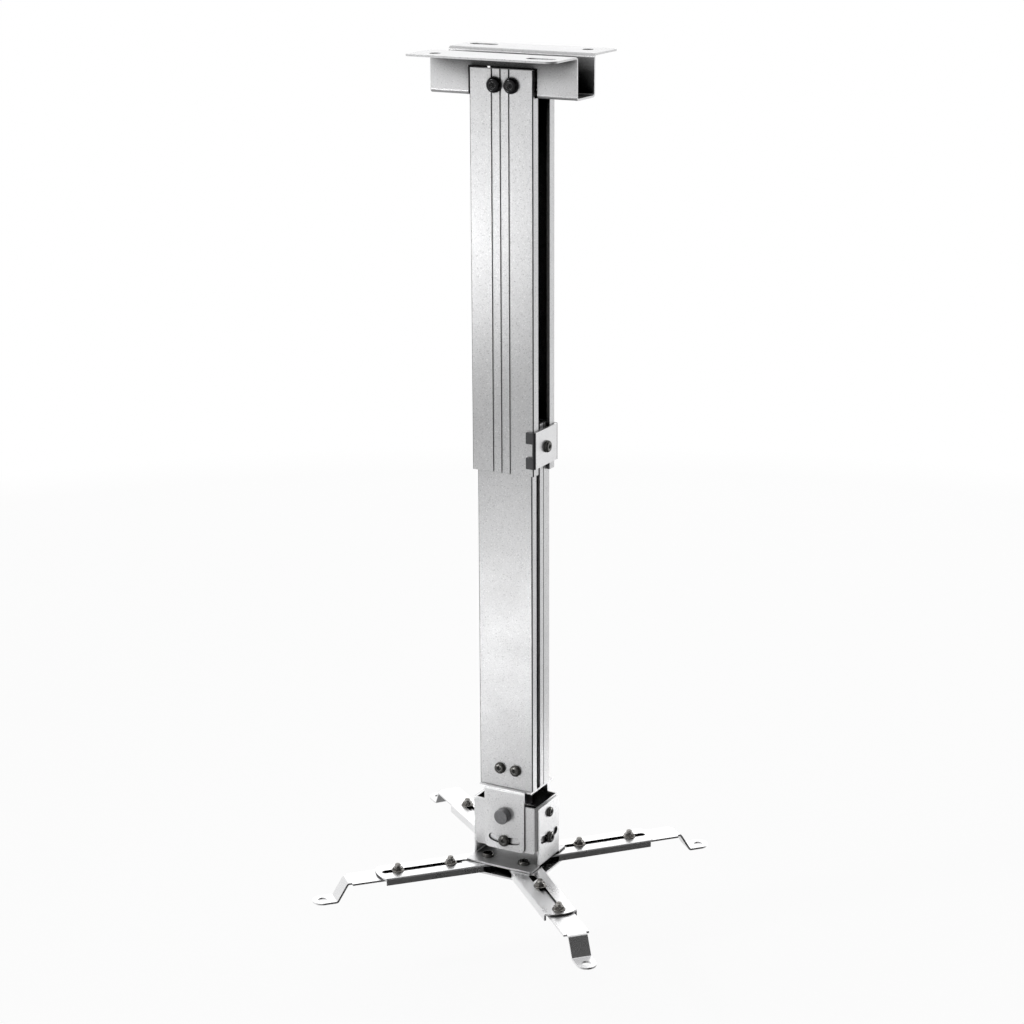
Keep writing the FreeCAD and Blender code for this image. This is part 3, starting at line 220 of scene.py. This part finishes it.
POWDER = make_powder_group()
EDGES = make_edge_group()
HANDLING = make_handling_group()
RECESS = make_recess_group()


def start_material(name, metallic):
    """A material with its shader, ready for colour, gloss and relief."""
    material = bpy.data.materials.new(name)
    material.use_nodes = True
    shader = material.node_tree.nodes["Principled BSDF"]
    shader.inputs["Metallic"].default_value = metallic
    return material, material.node_tree, shader


# Painted shade on the hooks of the clip.
PAINTED_HOOK_SHADE = (0.09, 0.09, 0.093, 1)
# Painted dark reflection on the rounded upright corners of the extrusions.
PAINTED_CORNER_REFLECTION = (0.03, 0.03, 0.031, 1)
GRAIN_RELIEF = 0.04 * MM


def powder_coat(name, colour, grain_amount, roughness, metallic, painted_edge_share, painted_edge_reflection, recess,
                grain_scale=1050.0, hooks=None, painted_corner_reflections=False):
    """The silver coat of the sheet parts and extrusions, with a painted highlight along
    sheet edges and a painted dark reflection along extrusion edges.

    Recess is how far the shade of gaps reaches, and how open to the sky its dark
    and its pale end are. Hooks are the half depth past which a clip is painted
    darker as shade, and painted corner reflections darken the rounded upright
    corners of an extrusion as a painted dark reflection.
    """
    material, tree, shader = start_material(name, metallic)
    powder = use_group(tree, POWDER, Colour=colour, Scale=grain_scale, Amount=grain_amount)
    edges = use_group(tree, EDGES, Radius=0.3 * MM, Sharpness=5.0)
    # Painted highlight along the edges and bends of sheets, and painted dark reflection along the
    # edges of extrusions.
    light = math_node(tree, "MULTIPLY", edges.outputs["Mask"], painted_edge_share)
    tinted = mix_colours(tree, light, powder.outputs["Colour"], painted_edge_reflection)
    # Painted shade on the hooks that stand past the column's front and rear faces.
    if hooks is not None:
        depth = math_node(tree, "ABSOLUTE", split_axes(tree, own_place(tree))["Y"])
        hook_shade = spread(tree, depth, hooks - 0.6 * MM, hooks + 0.2 * MM)
        tinted = mix_colours(tree, hook_shade, tinted, PAINTED_HOOK_SHADE)
    # Painted dark reflection on the rounded upright corners, found from the way the surface faces.
    if painted_corner_reflections:
        facing = tree.nodes.new("ShaderNodeNewGeometry")
        sides = split_axes(tree, facing.outputs["Normal"])
        both = math_node(tree, "MULTIPLY", sides["X"], sides["Y"])
        corner = math_node(tree, "MULTIPLY", math_node(tree, "ABSOLUTE", both), 3.5, clamp=True)
        tinted = mix_colours(tree, corner, tinted, PAINTED_CORNER_REFLECTION)
    reach, start, end = recess
    shaded = use_group(tree, RECESS, Colour=tinted, Reach=reach, Start=start, End=end, Deepest=0.0)
    tree.links.new(shaded.outputs["Colour"], shader.inputs["Base Color"])
    gloss = use_group(tree, HANDLING, Roughness=roughness, Amount=0.03)
    tree.links.new(gloss.outputs["Roughness"], shader.inputs["Roughness"])
    bump = tree.nodes.new("ShaderNodeBump")
    bump.inputs["Distance"].default_value = GRAIN_RELIEF
    tree.links.new(powder.outputs["Height"], bump.inputs["Height"])
    tree.links.new(bump.outputs["Normal"], shader.inputs["Normal"])
    return material


STAIN_DARKNESS = 0.55


def bare_metal(name, colour, roughness, edge_light, painted_glint):
    """Dark or plated fastener metal with a painted highlight along its edges."""
    material, tree, shader = start_material(name, 1.0)
    stain = spread(tree, noise(tree, 420.0, 3.0, 0.6), 0.35, 0.7)
    stained = tuple(STAIN_DARKNESS * part for part in colour[:3]) + (1,)
    base = mix_colours(tree, math_node(tree, "MULTIPLY", stain, 0.5), colour, stained)
    # Painted highlight along the head, crown and socket edges.
    edges = use_group(tree, EDGES, Radius=0.6 * MM, Sharpness=5.0)
    light = math_node(tree, "MULTIPLY", edges.outputs["Mask"], edge_light)
    tinted = mix_colours(tree, light, base, painted_glint)
    shaded = use_group(tree, RECESS, Colour=tinted, Reach=3 * MM, Start=0.0, End=0.4, Deepest=0.02)
    tree.links.new(shaded.outputs["Colour"], shader.inputs["Base Color"])
    gloss = use_group(tree, HANDLING, Roughness=roughness, Amount=0.2)
    tree.links.new(gloss.outputs["Roughness"], shader.inputs["Roughness"])
    return material


# Painted highlight for sheet edges and painted dark reflection for extrusion edges.
PAINTED_EDGE_HIGHLIGHT = (0.97, 0.97, 0.97, 1)
PAINTED_DARK_EDGE_REFLECTION = (0.06, 0.06, 0.062, 1)
SILVER = (0.62, 0.62, 0.625, 1)
CLIP_SILVER = (0.70, 0.70, 0.705, 1)
HEAD_SILVER = (0.72, 0.72, 0.725, 1)
ARM_SILVER = (0.88, 0.88, 0.885, 1)

SHEET = dict(roughness=0.36, metallic=0.85, painted_edge_reflection=PAINTED_EDGE_HIGHLIGHT)
EXTRUSION = dict(grain_amount=0.9, roughness=0.38, metallic=0.85, painted_edge_share=0.7,
                 painted_edge_reflection=PAINTED_DARK_EDGE_REFLECTION, painted_corner_reflections=True)
BRIGHT_SHEET = dict(grain_scale=1500.0, grain_amount=0.2, roughness=0.28, metallic=0.95,
                    painted_edge_share=0.2, painted_edge_reflection=PAINTED_EDGE_HIGHLIGHT)

BRACKET_COAT = powder_coat("silver_bracket_coat", SILVER, grain_amount=0.9, painted_edge_share=0.25,
                           recess=(35 * MM, 0.45, 0.95), **SHEET)
COLUMN_COAT = powder_coat("silver_column_coat", SILVER, recess=(50 * MM, 0.3, 0.6), **EXTRUSION)
INNER_COAT = powder_coat("silver_inner_coat", SILVER, recess=(40 * MM, 0.15, 0.35), **EXTRUSION)
CLIP_COAT = powder_coat("grey_clip_coat", CLIP_SILVER, grain_amount=0.5, roughness=0.33,
                        metallic=0.9, painted_edge_share=0.3, painted_edge_reflection=PAINTED_EDGE_HIGHLIGHT,
                        recess=(20 * MM, 0.3, 0.7), hooks=16.9 * MM)
HEAD_COAT = powder_coat("silver_head_coat", HEAD_SILVER, grain_amount=0.9, painted_edge_share=0.3,
                        recess=(35 * MM, 0.25, 0.75), **SHEET)
BLOCK_COAT = powder_coat("silver_block_coat", CLIP_SILVER, grain_amount=1.0, painted_edge_share=0.3,
                         recess=(40 * MM, 0.35, 0.65), **SHEET)
ARM_COAT = powder_coat("silver_arm_coat", ARM_SILVER, recess=(8 * MM, 0.5, 0.85), **BRIGHT_SHEET)
BAR_COAT = powder_coat("silver_bar_coat", ARM_SILVER, recess=(8 * MM, 0.4, 0.8), **BRIGHT_SHEET)

BLACK_STEEL = bare_metal("black_oxide_steel", (0.03, 0.03, 0.031, 1), roughness=0.14,
                         edge_light=1.0, painted_glint=(0.9, 0.9, 0.9, 1))
DARK_NICKEL = bare_metal("dark_nickel_plate", (0.11, 0.108, 0.103, 1), roughness=0.18,
                         edge_light=0.8, painted_glint=(0.85, 0.85, 0.84, 1))
BRONZE_STEEL = bare_metal("dark_bronze_plate", (0.17, 0.16, 0.147, 1), roughness=0.16,
                          edge_light=0.7, painted_glint=(0.9, 0.89, 0.87, 1))
PLAIN_STEEL = bare_metal("zinc_plate", (0.55, 0.55, 0.56, 1), roughness=0.35,
                         edge_light=0.4, painted_glint=(0.9, 0.9, 0.9, 1))
PIN_STEEL = bare_metal("grey_pin_steel", (0.22, 0.22, 0.225, 1), roughness=0.38,
                       edge_light=0.4, painted_glint=(0.6, 0.6, 0.6, 1))


def finish_nodes():
    """Gives each carried-over node its finish, plain steel where none is named."""
    finishes = {
        "ceiling_bracket": BRACKET_COAT, "outer_column": COLUMN_COAT, "inner_column": INNER_COAT,
        "clamp_plate": CLIP_COAT, "column_foot": HEAD_COAT, "yoke": HEAD_COAT,
        "cross_block": BLOCK_COAT, "base_bracket": HEAD_COAT, "hub_plate": ARM_COAT,
        "roll_pins": PIN_STEEL,
    }
    for name in ARM_NAMES:
        finishes[f"arm_{name}"] = ARM_COAT
        finishes[f"bar_{name}"] = BAR_COAT
    for name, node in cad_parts.items():
        node.data.materials.clear()
        node.data.materials.append(finishes.get(name, PLAIN_STEEL))


SEAM = 1e-6


def solids(node):
    """The lowest and highest corner of each separate solid in a node, in order of place."""
    mesh = bmesh.new()
    mesh.from_mesh(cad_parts[node].data)
    bmesh.ops.remove_doubles(mesh, verts=mesh.verts, dist=SEAM)
    left = set(mesh.verts)
    boxes = []
    while left:
        island = {left.pop()}
        border = list(island)
        while border:
            vert = border.pop()
            for link in vert.link_edges:
                other = link.other_vert(vert)
                if other in left:
                    left.remove(other)
                    island.add(other)
                    border.append(other)
        low = Vector(min(v.co[k] for v in island) for k in range(3))
        high = Vector(max(v.co[k] for v in island) for k in range(3))
        boxes.append((low, high))
    mesh.free()
    return sorted(boxes, key=lambda box: [round(part / MM, 1) for part in box[0]])


UP, DOWN = Vector((0, 0, 1)), Vector((0, 0, -1))
FRONT, REAR = Vector((0, -1, 0)), Vector((0, 1, 0))
LEFT, RIGHT = Vector((-1, 0, 0)), Vector((1, 0, 0))

HEAD_SEGMENTS = 48
STUD_SEGMENTS = 40
SHANK_SEGMENTS = 32
THREAD_STEPS = 24
DOME_STEPS = 7
CREASE_ANGLE = math.radians(32)
HEAD_TURN_STEP = 17.0


def spin_profile(mesh, points, segments):
    """Turns a profile of radius and height pairs round Z into a closed skin."""
    verts = [mesh.verts.new((radius, 0, height)) for radius, height in points]
    edges = [mesh.edges.new(pair) for pair in zip(verts, verts[1:])]
    bmesh.ops.spin(mesh, geom=verts + edges, cent=(0, 0, 0), axis=(0, 0, 1), angle=math.tau,
                   steps=segments, use_merge=True)


def ring(mesh, radius, height, segments=HEAD_SEGMENTS):
    """A circle round Z, returned as its edges."""
    made = bmesh.ops.create_circle(mesh, cap_ends=False, radius=radius, segments=segments,
                                   matrix=Matrix.Translation((0, 0, height)))
    return {edge for vert in made["verts"] for edge in vert.link_edges}


def hexagon(mesh, corner, height):
    """A hexagon round Z whose sides are cut, so that it has as many edges as a ring."""
    split = bmesh.ops.subdivide_edges(mesh, edges=list(ring(mesh, corner, height, 6)),
                                      cuts=HEAD_SEGMENTS // 6 - 1)
    return {item for item in split["geom_inner"] + split["geom_split"]
            if isinstance(item, bmesh.types.BMEdge)}


def bridge(mesh, first, second):
    """Skins the gap between two loops of edges."""
    bmesh.ops.bridge_loops(mesh, edges=list(first | second))


def head_outline(radius, height, crown):
    """Radius and height pairs of a domed head from its seat to its crown."""
    rim = 0.3 * height
    points = [(radius - 0.12 * MM, 0.0), (radius, 0.12 * MM), (radius, rim)]
    for step in range(1, DOME_STEPS + 1):
        angle = math.pi / 2 * step / DOME_STEPS
        points.append((crown + (radius - crown) * math.cos(angle),
                       rim + (height - rim) * math.sin(angle)))
    return points


def socket_head(mesh, radius, height, socket, depth):
    """A domed head with a chamfered hexagon socket, its seat at Z 0."""
    crown = 0.66 * radius
    corner = socket / math.sqrt(3)
    spin_profile(mesh, head_outline(radius, height, crown), HEAD_SEGMENTS)
    mouth = hexagon(mesh, corner + 0.5 * MM, height)
    bridge(mesh, mouth, ring(mesh, crown, height))
    lip = hexagon(mesh, corner, height - 0.35 * MM)
    bridge(mesh, mouth, lip)
    floor = hexagon(mesh, corner, height - depth)
    bridge(mesh, lip, floor)
    bmesh.ops.contextual_create(mesh, geom=list(floor))


def threaded_shank(mesh, radius, start, length, pitch):
    """A shank below Z 0 whose thread is a helix swept by spin, with a chamfered end."""
    root = radius - 0.55 * pitch
    foot = root - 0.02 * MM
    end = start - length
    turns = max(1, int(length / pitch) - 1)
    spin_profile(mesh, [(0.0, end), (root - 0.3 * MM, end), (root, end + 0.3 * MM),
                        (root, start)], SHANK_SEGMENTS)
    low = end + 0.25 * MM
    tooth = [mesh.verts.new((out, 0, low + share * pitch))
             for out, share in ((foot, 0.0), (radius, 0.4), (radius, 0.5), (foot, 0.9))]
    sides = [mesh.edges.new(pair) for pair in zip(tooth, tooth[1:])]
    bmesh.ops.spin(mesh, geom=tooth + sides, cent=(0, 0, 0), axis=(0, 0, 1),
                   angle=math.tau * turns, steps=THREAD_STEPS * turns,
                   dvec=(0, 0, pitch / THREAD_STEPS))


def hexagon_nut(mesh, flats, height, hole, base=0.0, chamfer=0.5 * MM):
    """A nut standing at height base, its corners chamfered and its hole countersunk."""
    corner = flats / math.sqrt(3)
    top = base + height
    loops = [hexagon(mesh, corner, base), hexagon(mesh, corner, top - chamfer),
             ring(mesh, flats / 2 * 0.97, top), ring(mesh, hole + 0.3 * MM, top),
             ring(mesh, hole, top - 0.3 * MM), ring(mesh, hole, base)]
    for first, second in zip(loops, loops[1:] + loops[:1]):
        bridge(mesh, first, second)


def flange(mesh, radius, height, hole):
    """The sloped washer that is one piece with a small nut."""
    spin_profile(mesh, [(hole, 0.0), (radius - 0.1 * MM, 0.0), (radius, 0.15 * MM),
                        (radius, 0.45 * height), (radius * 0.74, height), (hole, height),
                        (hole, 0.0)], STUD_SEGMENTS)


def set_pieces(node, body, material, seats, build, turns=None):
    """One object that stands for a node's fasteners, built once and copied to each seat.

    A seat is a place and the way that the head faces. Turns are the degrees that each
    copy is turned by, and without them each is turned a little further than the last.
    """
    pattern = bmesh.new()
    build(pattern)
    bmesh.ops.remove_doubles(pattern, verts=pattern.verts, dist=SEAM)
    bmesh.ops.recalc_face_normals(pattern, faces=pattern.faces)
    shape = bpy.data.meshes.new(f"{node}_pattern")
    pattern.to_mesh(shape)
    pattern.free()
    whole = bmesh.new()
    for index, (seat, facing) in enumerate(seats):
        angle = math.radians(turns[index % len(turns)] if turns else HEAD_TURN_STEP * index)
        turn = UP.rotation_difference(facing).to_matrix().to_4x4()
        place = Matrix.Translation(seat) @ turn @ Matrix.Rotation(angle, 4, "Z")
        before = len(whole.verts)
        whole.from_mesh(shape)
        whole.verts.ensure_lookup_table()
        bmesh.ops.transform(whole, matrix=place, verts=whole.verts[before:])
    bpy.data.meshes.remove(shape)
    data = bpy.data.meshes.new(f"detailed_{node}")
    whole.to_mesh(data)
    whole.free()
    data.materials.append(material)
    data.shade_smooth()
    data.set_sharp_from_angle(angle=CREASE_ANGLE)
    piece = bpy.data.objects.new(f"detailed_{node}", data)
    bpy.context.scene.collection.objects.link(piece)
    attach(piece, body)
    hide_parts(node)


def screws(node, body, radius, head_radius, head_height, socket, pitch, direction_of, material):
    """Socket screws in place of a node of plain ones, which all have one length."""
    seats = []
    for low, high in solids(node):
        middle = (low + high) / 2
        facing = direction_of(middle)
        reach = abs((high - low).dot(facing)) / 2
        seats.append((middle + facing * (reach - head_height), facing))
        length = 2 * reach - head_height
    neck = 1.2 * MM

    def build(mesh):
        socket_head(mesh, head_radius, head_height, socket, 0.62 * head_height)
        spin_profile(mesh, [(head_radius - 0.12 * MM, 0.0), (radius, 0.0), (radius, -neck)],
                     HEAD_SEGMENTS)
        threaded_shank(mesh, radius, -neck, length - neck, pitch)

    set_pieces(node, body, material, seats, build)


def always(way):
    """The way out for heads that all face one way."""
    return lambda middle: way


def front_or_rear(middle):
    """The nearer way out for a head on the front or rear face."""
    return FRONT if middle.y < 0 else REAR


def left_or_right(middle):
    """The nearer way out for a head on the left or right face."""
    return LEFT if middle.x < 0 else RIGHT


M6 = dict(radius=3 * MM, head_radius=5.8 * MM, head_height=3.4 * MM, socket=4 * MM, pitch=1 * MM,
          material=BLACK_STEEL)
M5 = dict(radius=2.5 * MM, head_radius=4.6 * MM, head_height=2.9 * MM, socket=3 * MM,
          pitch=0.8 * MM, material=DARK_NICKEL)
M5_LOW = dict(M5, head_radius=4.0 * MM, head_height=2.3 * MM)
NUT_HOLE = 2.55 * MM
STUD_HEAD = 2.1 * MM


def collared_nut(mesh):
    """A small nut on its sloped washer."""
    collar = 1.2 * MM
    flange(mesh, 4.9 * MM, collar, NUT_HOLE)
    hexagon_nut(mesh, flats=7 * MM, height=1.7 * MM, hole=NUT_HOLE, base=collar, chamfer=0.4 * MM)


def plain_nut(mesh):
    """A low nut of the arm screws."""
    hexagon_nut(mesh, flats=8 * MM, height=4 * MM, hole=NUT_HOLE)


def middle_at(low, high, height):
    """The middle of a box, seen from above, at a height."""
    return Vector(((low.x + high.x) / 2, (low.y + high.y) / 2, height))


def make_bar_fasteners(name):
    """The two studs and flanged nuts of one bar."""
    bolts, nuts, body = f"bar_bolts_{name}", f"bar_nuts_{name}", f"bar_{name}"
    boxes = solids(bolts)
    length = boxes[0][1].z - boxes[0][0].z - STUD_HEAD

    def stud(mesh):
        neck = 0.8 * MM
        spin_profile(mesh, head_outline(4.6 * MM, STUD_HEAD, 2.6 * MM) + [(0.0, STUD_HEAD)],
                     STUD_SEGMENTS)
        spin_profile(mesh, [(4.48 * MM, 0.0), (2.5 * MM, 0.0), (2.5 * MM, -neck)], STUD_SEGMENTS)
        threaded_shank(mesh, 2.5 * MM, -neck, length - neck, 0.8 * MM)

    seats = [(middle_at(low, high, low.z + STUD_HEAD), DOWN) for low, high in boxes]
    set_pieces(bolts, body, BRONZE_STEEL, seats, stud)
    seats = [(middle_at(low, high, low.z), UP) for low, high in solids(nuts)]
    set_pieces(nuts, body, BRONZE_STEEL, seats, collared_nut, turns=(12.0, 43.0))


def make_fasteners():
    """Screws, bolts and nuts with sockets, chamfers and threads."""
    screws("column_bolts", "ceiling", direction_of=front_or_rear, **M6)
    screws("yoke_bolts", "drop_column", direction_of=always(DOWN), **M6)
    screws("clamp_screw", "drop_column", direction_of=always(RIGHT), **M5)
    screws("foot_screws", "drop_column", direction_of=front_or_rear, **M5)
    screws("roll_lock_screws", "cross", direction_of=front_or_rear, **M5)
    screws("pitch_lock_screws", "cross", direction_of=left_or_right, **M5)
    screws("pitch_bolt", "cross", direction_of=always(RIGHT), **M5_LOW)
    screws("arm_screws", "base", direction_of=always(UP), **M5)
    seats = [(middle_at(low, high, high.z), DOWN) for low, high in solids("arm_screw_nuts")]
    set_pieces("arm_screw_nuts", "base", PLAIN_STEEL, seats, plain_nut)
    low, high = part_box("pitch_nut")
    seat = Vector((high.x, (low.y + high.y) / 2, (low.z + high.z) / 2))
    set_pieces("pitch_nut", "cross", BRONZE_STEEL, [(seat, LEFT)], collared_nut)
    for name in ARM_NAMES:
        make_bar_fasteners(name)


FLOOR_LEVEL = -0.72
FLOOR_RADIUS = 4.0
FLOOR_GLOW = 0.9


def make_floor():
    """A pale floor that fades into the white background and lets mirrored rays through."""
    mesh = bmesh.new()
    bmesh.ops.create_circle(mesh, cap_ends=True, radius=FLOOR_RADIUS, segments=96,
                            matrix=Matrix.Translation((0, 0, FLOOR_LEVEL)))
    data = bpy.data.meshes.new("floor")
    mesh.to_mesh(data)
    mesh.free()
    material = bpy.data.materials.new("pale_floor")
    material.use_nodes = True
    tree = material.node_tree
    shader = tree.nodes["Principled BSDF"]
    shader.inputs["Base Color"].default_value = (0.9, 0.9, 0.9, 1)
    shader.inputs["Roughness"].default_value = 0.8
    glow = tree.nodes.new("ShaderNodeEmission")
    glow.inputs["Color"].default_value = (1, 1, 1, 1)
    flat = tree.nodes.new("ShaderNodeMapping")
    flat.inputs["Scale"].default_value = (1, 1, 0)
    tree.links.new(own_place(tree), flat.inputs["Vector"])
    reach = tree.nodes.new("ShaderNodeVectorMath")
    reach.operation = "LENGTH"
    tree.links.new(flat.outputs["Vector"], reach.inputs[0])
    far = spread(tree, reach.outputs["Value"], 0.25, 1.6)
    light_path = tree.nodes.new("ShaderNodeLightPath")
    share = math_node(tree, "MULTIPLY", math_node(tree, "MAXIMUM", far, FLOOR_GLOW),
                      light_path.outputs["Is Camera Ray"])
    pale = tree.nodes.new("ShaderNodeMixShader")
    tree.links.new(share, pale.inputs["Fac"])
    tree.links.new(shader.outputs[0], pale.inputs[1])
    tree.links.new(glow.outputs[0], pale.inputs[2])
    clear = tree.nodes.new("ShaderNodeBsdfTransparent")
    mirrored = tree.nodes.new("ShaderNodeMixShader")
    tree.links.new(light_path.outputs["Is Glossy Ray"], mirrored.inputs["Fac"])
    tree.links.new(pale.outputs[0], mirrored.inputs[1])
    tree.links.new(clear.outputs[0], mirrored.inputs[2])
    tree.links.new(mirrored.outputs[0], tree.nodes["Material Output"].inputs["Surface"])
    data.materials.append(material)
    floor = bpy.data.objects.new("floor", data)
    bpy.context.scene.collection.objects.link(floor)


LOW_FLAG = tuple(Vector((0.864, -0.394, -0.285)).normalized())
HIGH_FLAG = tuple(Vector((0.69, -0.24, 0.67)).normalized())
FLAG_GREY = (0.05, 0.05, 0.05, 1)
ROOM_STRENGTH = 0.92
GROUND_SHARE = 0.5

# The room's brightness from the side away from the low flag, at 0, to the flag, at 1.
ROOM_LEVELS = ((0.34, 1.0), (0.50, 0.65), (0.59, 0.58), (0.70, 0.40), (0.93, 0.40),
               (0.975, 0.02), (1.0, 0.005))


def make_world():
    """White behind the object, and a soft room with two dark flags at the right front."""
    world = bpy.data.worlds.new("studio")
    bpy.context.scene.world = world
    world.use_nodes = True
    tree = world.node_tree
    tree.nodes.clear()
    way = tree.nodes.new("ShaderNodeTexCoord").outputs["Generated"]
    ramp = tree.nodes.new("ShaderNodeValToRGB")
    stops = ramp.color_ramp.elements
    stops[0].position, stops[1].position = ROOM_LEVELS[0][0], ROOM_LEVELS[-1][0]
    for position, level in ROOM_LEVELS[1:-1]:
        stops.new(position)
    for stop, (position, level) in zip(stops, ROOM_LEVELS):
        stop.color = (level, level, level, 1)
    tree.links.new(spread(tree, dot_product(tree, way, LOW_FLAG), -1.0, 1.0), ramp.inputs["Fac"])
    ground = tree.nodes.new("ShaderNodeMapRange")
    ground.inputs["From Min"].default_value = -0.8
    ground.inputs["From Max"].default_value = -0.45
    ground.inputs["To Min"].default_value = GROUND_SHARE
    tree.links.new(split_axes(tree, way)["Z"], ground.inputs["Value"])
    shaded = mix_colours(tree, ground.outputs["Result"], (0.0, 0.0, 0.0, 1),
                         ramp.outputs["Color"])
    flag = spread(tree, dot_product(tree, way, HIGH_FLAG), 0.84, 0.93)
    shaded = mix_colours(tree, flag, shaded, FLAG_GREY)
    room = tree.nodes.new("ShaderNodeBackground")
    room.inputs["Strength"].default_value = ROOM_STRENGTH
    tree.links.new(shaded, room.inputs["Color"])
    white = tree.nodes.new("ShaderNodeBackground")
    white.inputs["Color"].default_value = (1, 1, 1, 1)
    light_path = tree.nodes.new("ShaderNodeLightPath")
    seen = math_node(tree, "MAXIMUM", light_path.outputs["Is Camera Ray"],
                     light_path.outputs["Is Transmission Ray"])
    blend = tree.nodes.new("ShaderNodeMixShader")
    tree.links.new(seen, blend.inputs["Fac"])
    tree.links.new(room.outputs[0], blend.inputs[1])
    tree.links.new(white.outputs[0], blend.inputs[2])
    output = tree.nodes.new("ShaderNodeOutputWorld")
    tree.links.new(blend.outputs[0], output.inputs["Surface"])


def hang_lamp(name, lamp, place, target, power):
    """Hangs a lamp at a place and points it at a target."""
    lamp.energy = power
    holder = bpy.data.objects.new(name, lamp)
    holder.location = place
    holder.visible_camera = False
    aim = Vector(target) - Vector(place)
    holder.rotation_euler = aim.to_track_quat("-Z", "Y").to_euler()
    bpy.context.scene.collection.objects.link(holder)


def add_softbox(name, place, target, size, power):
    """A soft rectangular lamp."""
    lamp = bpy.data.lights.new(name, "AREA")
    lamp.shape = "RECTANGLE"
    lamp.size, lamp.size_y = size
    hang_lamp(name, lamp, place, target, power)


def add_spot(name, place, target, radius, power, cone):
    """A lamp with a soft cone in degrees, for a pool of light."""
    lamp = bpy.data.lights.new(name, "SPOT")
    lamp.shadow_soft_size = radius
    lamp.spot_size = math.radians(cone)
    lamp.spot_blend = 1.0
    hang_lamp(name, lamp, place, target, power)


def make_lamps():
    """Two softboxes behind, two pools on the column, a glint and a light on the head's right."""
    middle = (0, 0, -0.35)
    add_softbox("right_rear_softbox", (1.0, 1.7, -0.6), middle, (1.4, 1.6), 5)
    add_softbox("rear_left_softbox", (-0.9, 1.7, 0.3), middle, (1.6, 1.2), 4.5)
    add_spot("upper_pool_spot", (-0.49, -0.67, -0.31), (-0.07, -0.017, -0.085), 0.05, 3.0, 27)
    add_spot("lower_pool_spot", (-0.37, -0.68, -0.71), (0, -0.014, -0.51), 0.06, 2.6, 36)
    add_spot("high_left_glint", (-0.9, -1.2, 0.5), (0, 0, -0.3), 0.08, 14, 60)
    add_spot("right_head_spot", (0.42, 0.70, -0.68), (0.03, 0, -0.615), 0.05, 22, 13)


CAMERA_YAW = 28.71
CAMERA_PITCH = 16.55
CAMERA_ROLL = -0.25
CAMERA_TARGET = Vector((-1.62, 0.0, -346.13)) * MM
CAMERA_DISTANCE = 1878.69 * MM
CAMERA_LENS = 86.93


def make_camera():
    """The camera at the photograph's viewing angle."""
    yaw, pitch, roll = (math.radians(angle) for angle in (CAMERA_YAW, CAMERA_PITCH, CAMERA_ROLL))
    back = Vector((math.sin(yaw) * math.cos(pitch), -math.cos(yaw) * math.cos(pitch),
                   math.sin(pitch)))
    right = Vector((math.cos(yaw), math.sin(yaw), 0))
    up = back.cross(right)
    across = math.cos(roll) * right + math.sin(roll) * up
    upright = math.cos(roll) * up - math.sin(roll) * right
    data = bpy.data.cameras.new("camera")
    data.sensor_width = 36
    data.lens = CAMERA_LENS
    data.clip_end = 50
    camera = bpy.data.objects.new("camera", data)
    turn = Matrix((across, upright, back)).transposed().to_4x4()
    camera.matrix_world = Matrix.Translation(CAMERA_TARGET + back * CAMERA_DISTANCE) @ turn
    bpy.context.scene.collection.objects.link(camera)
    bpy.context.scene.camera = camera


finish_nodes()
make_fasteners()
make_floor()
make_world()
make_lamps()
make_camera()
bpy.context.scene.view_settings.view_transform = "Standard"
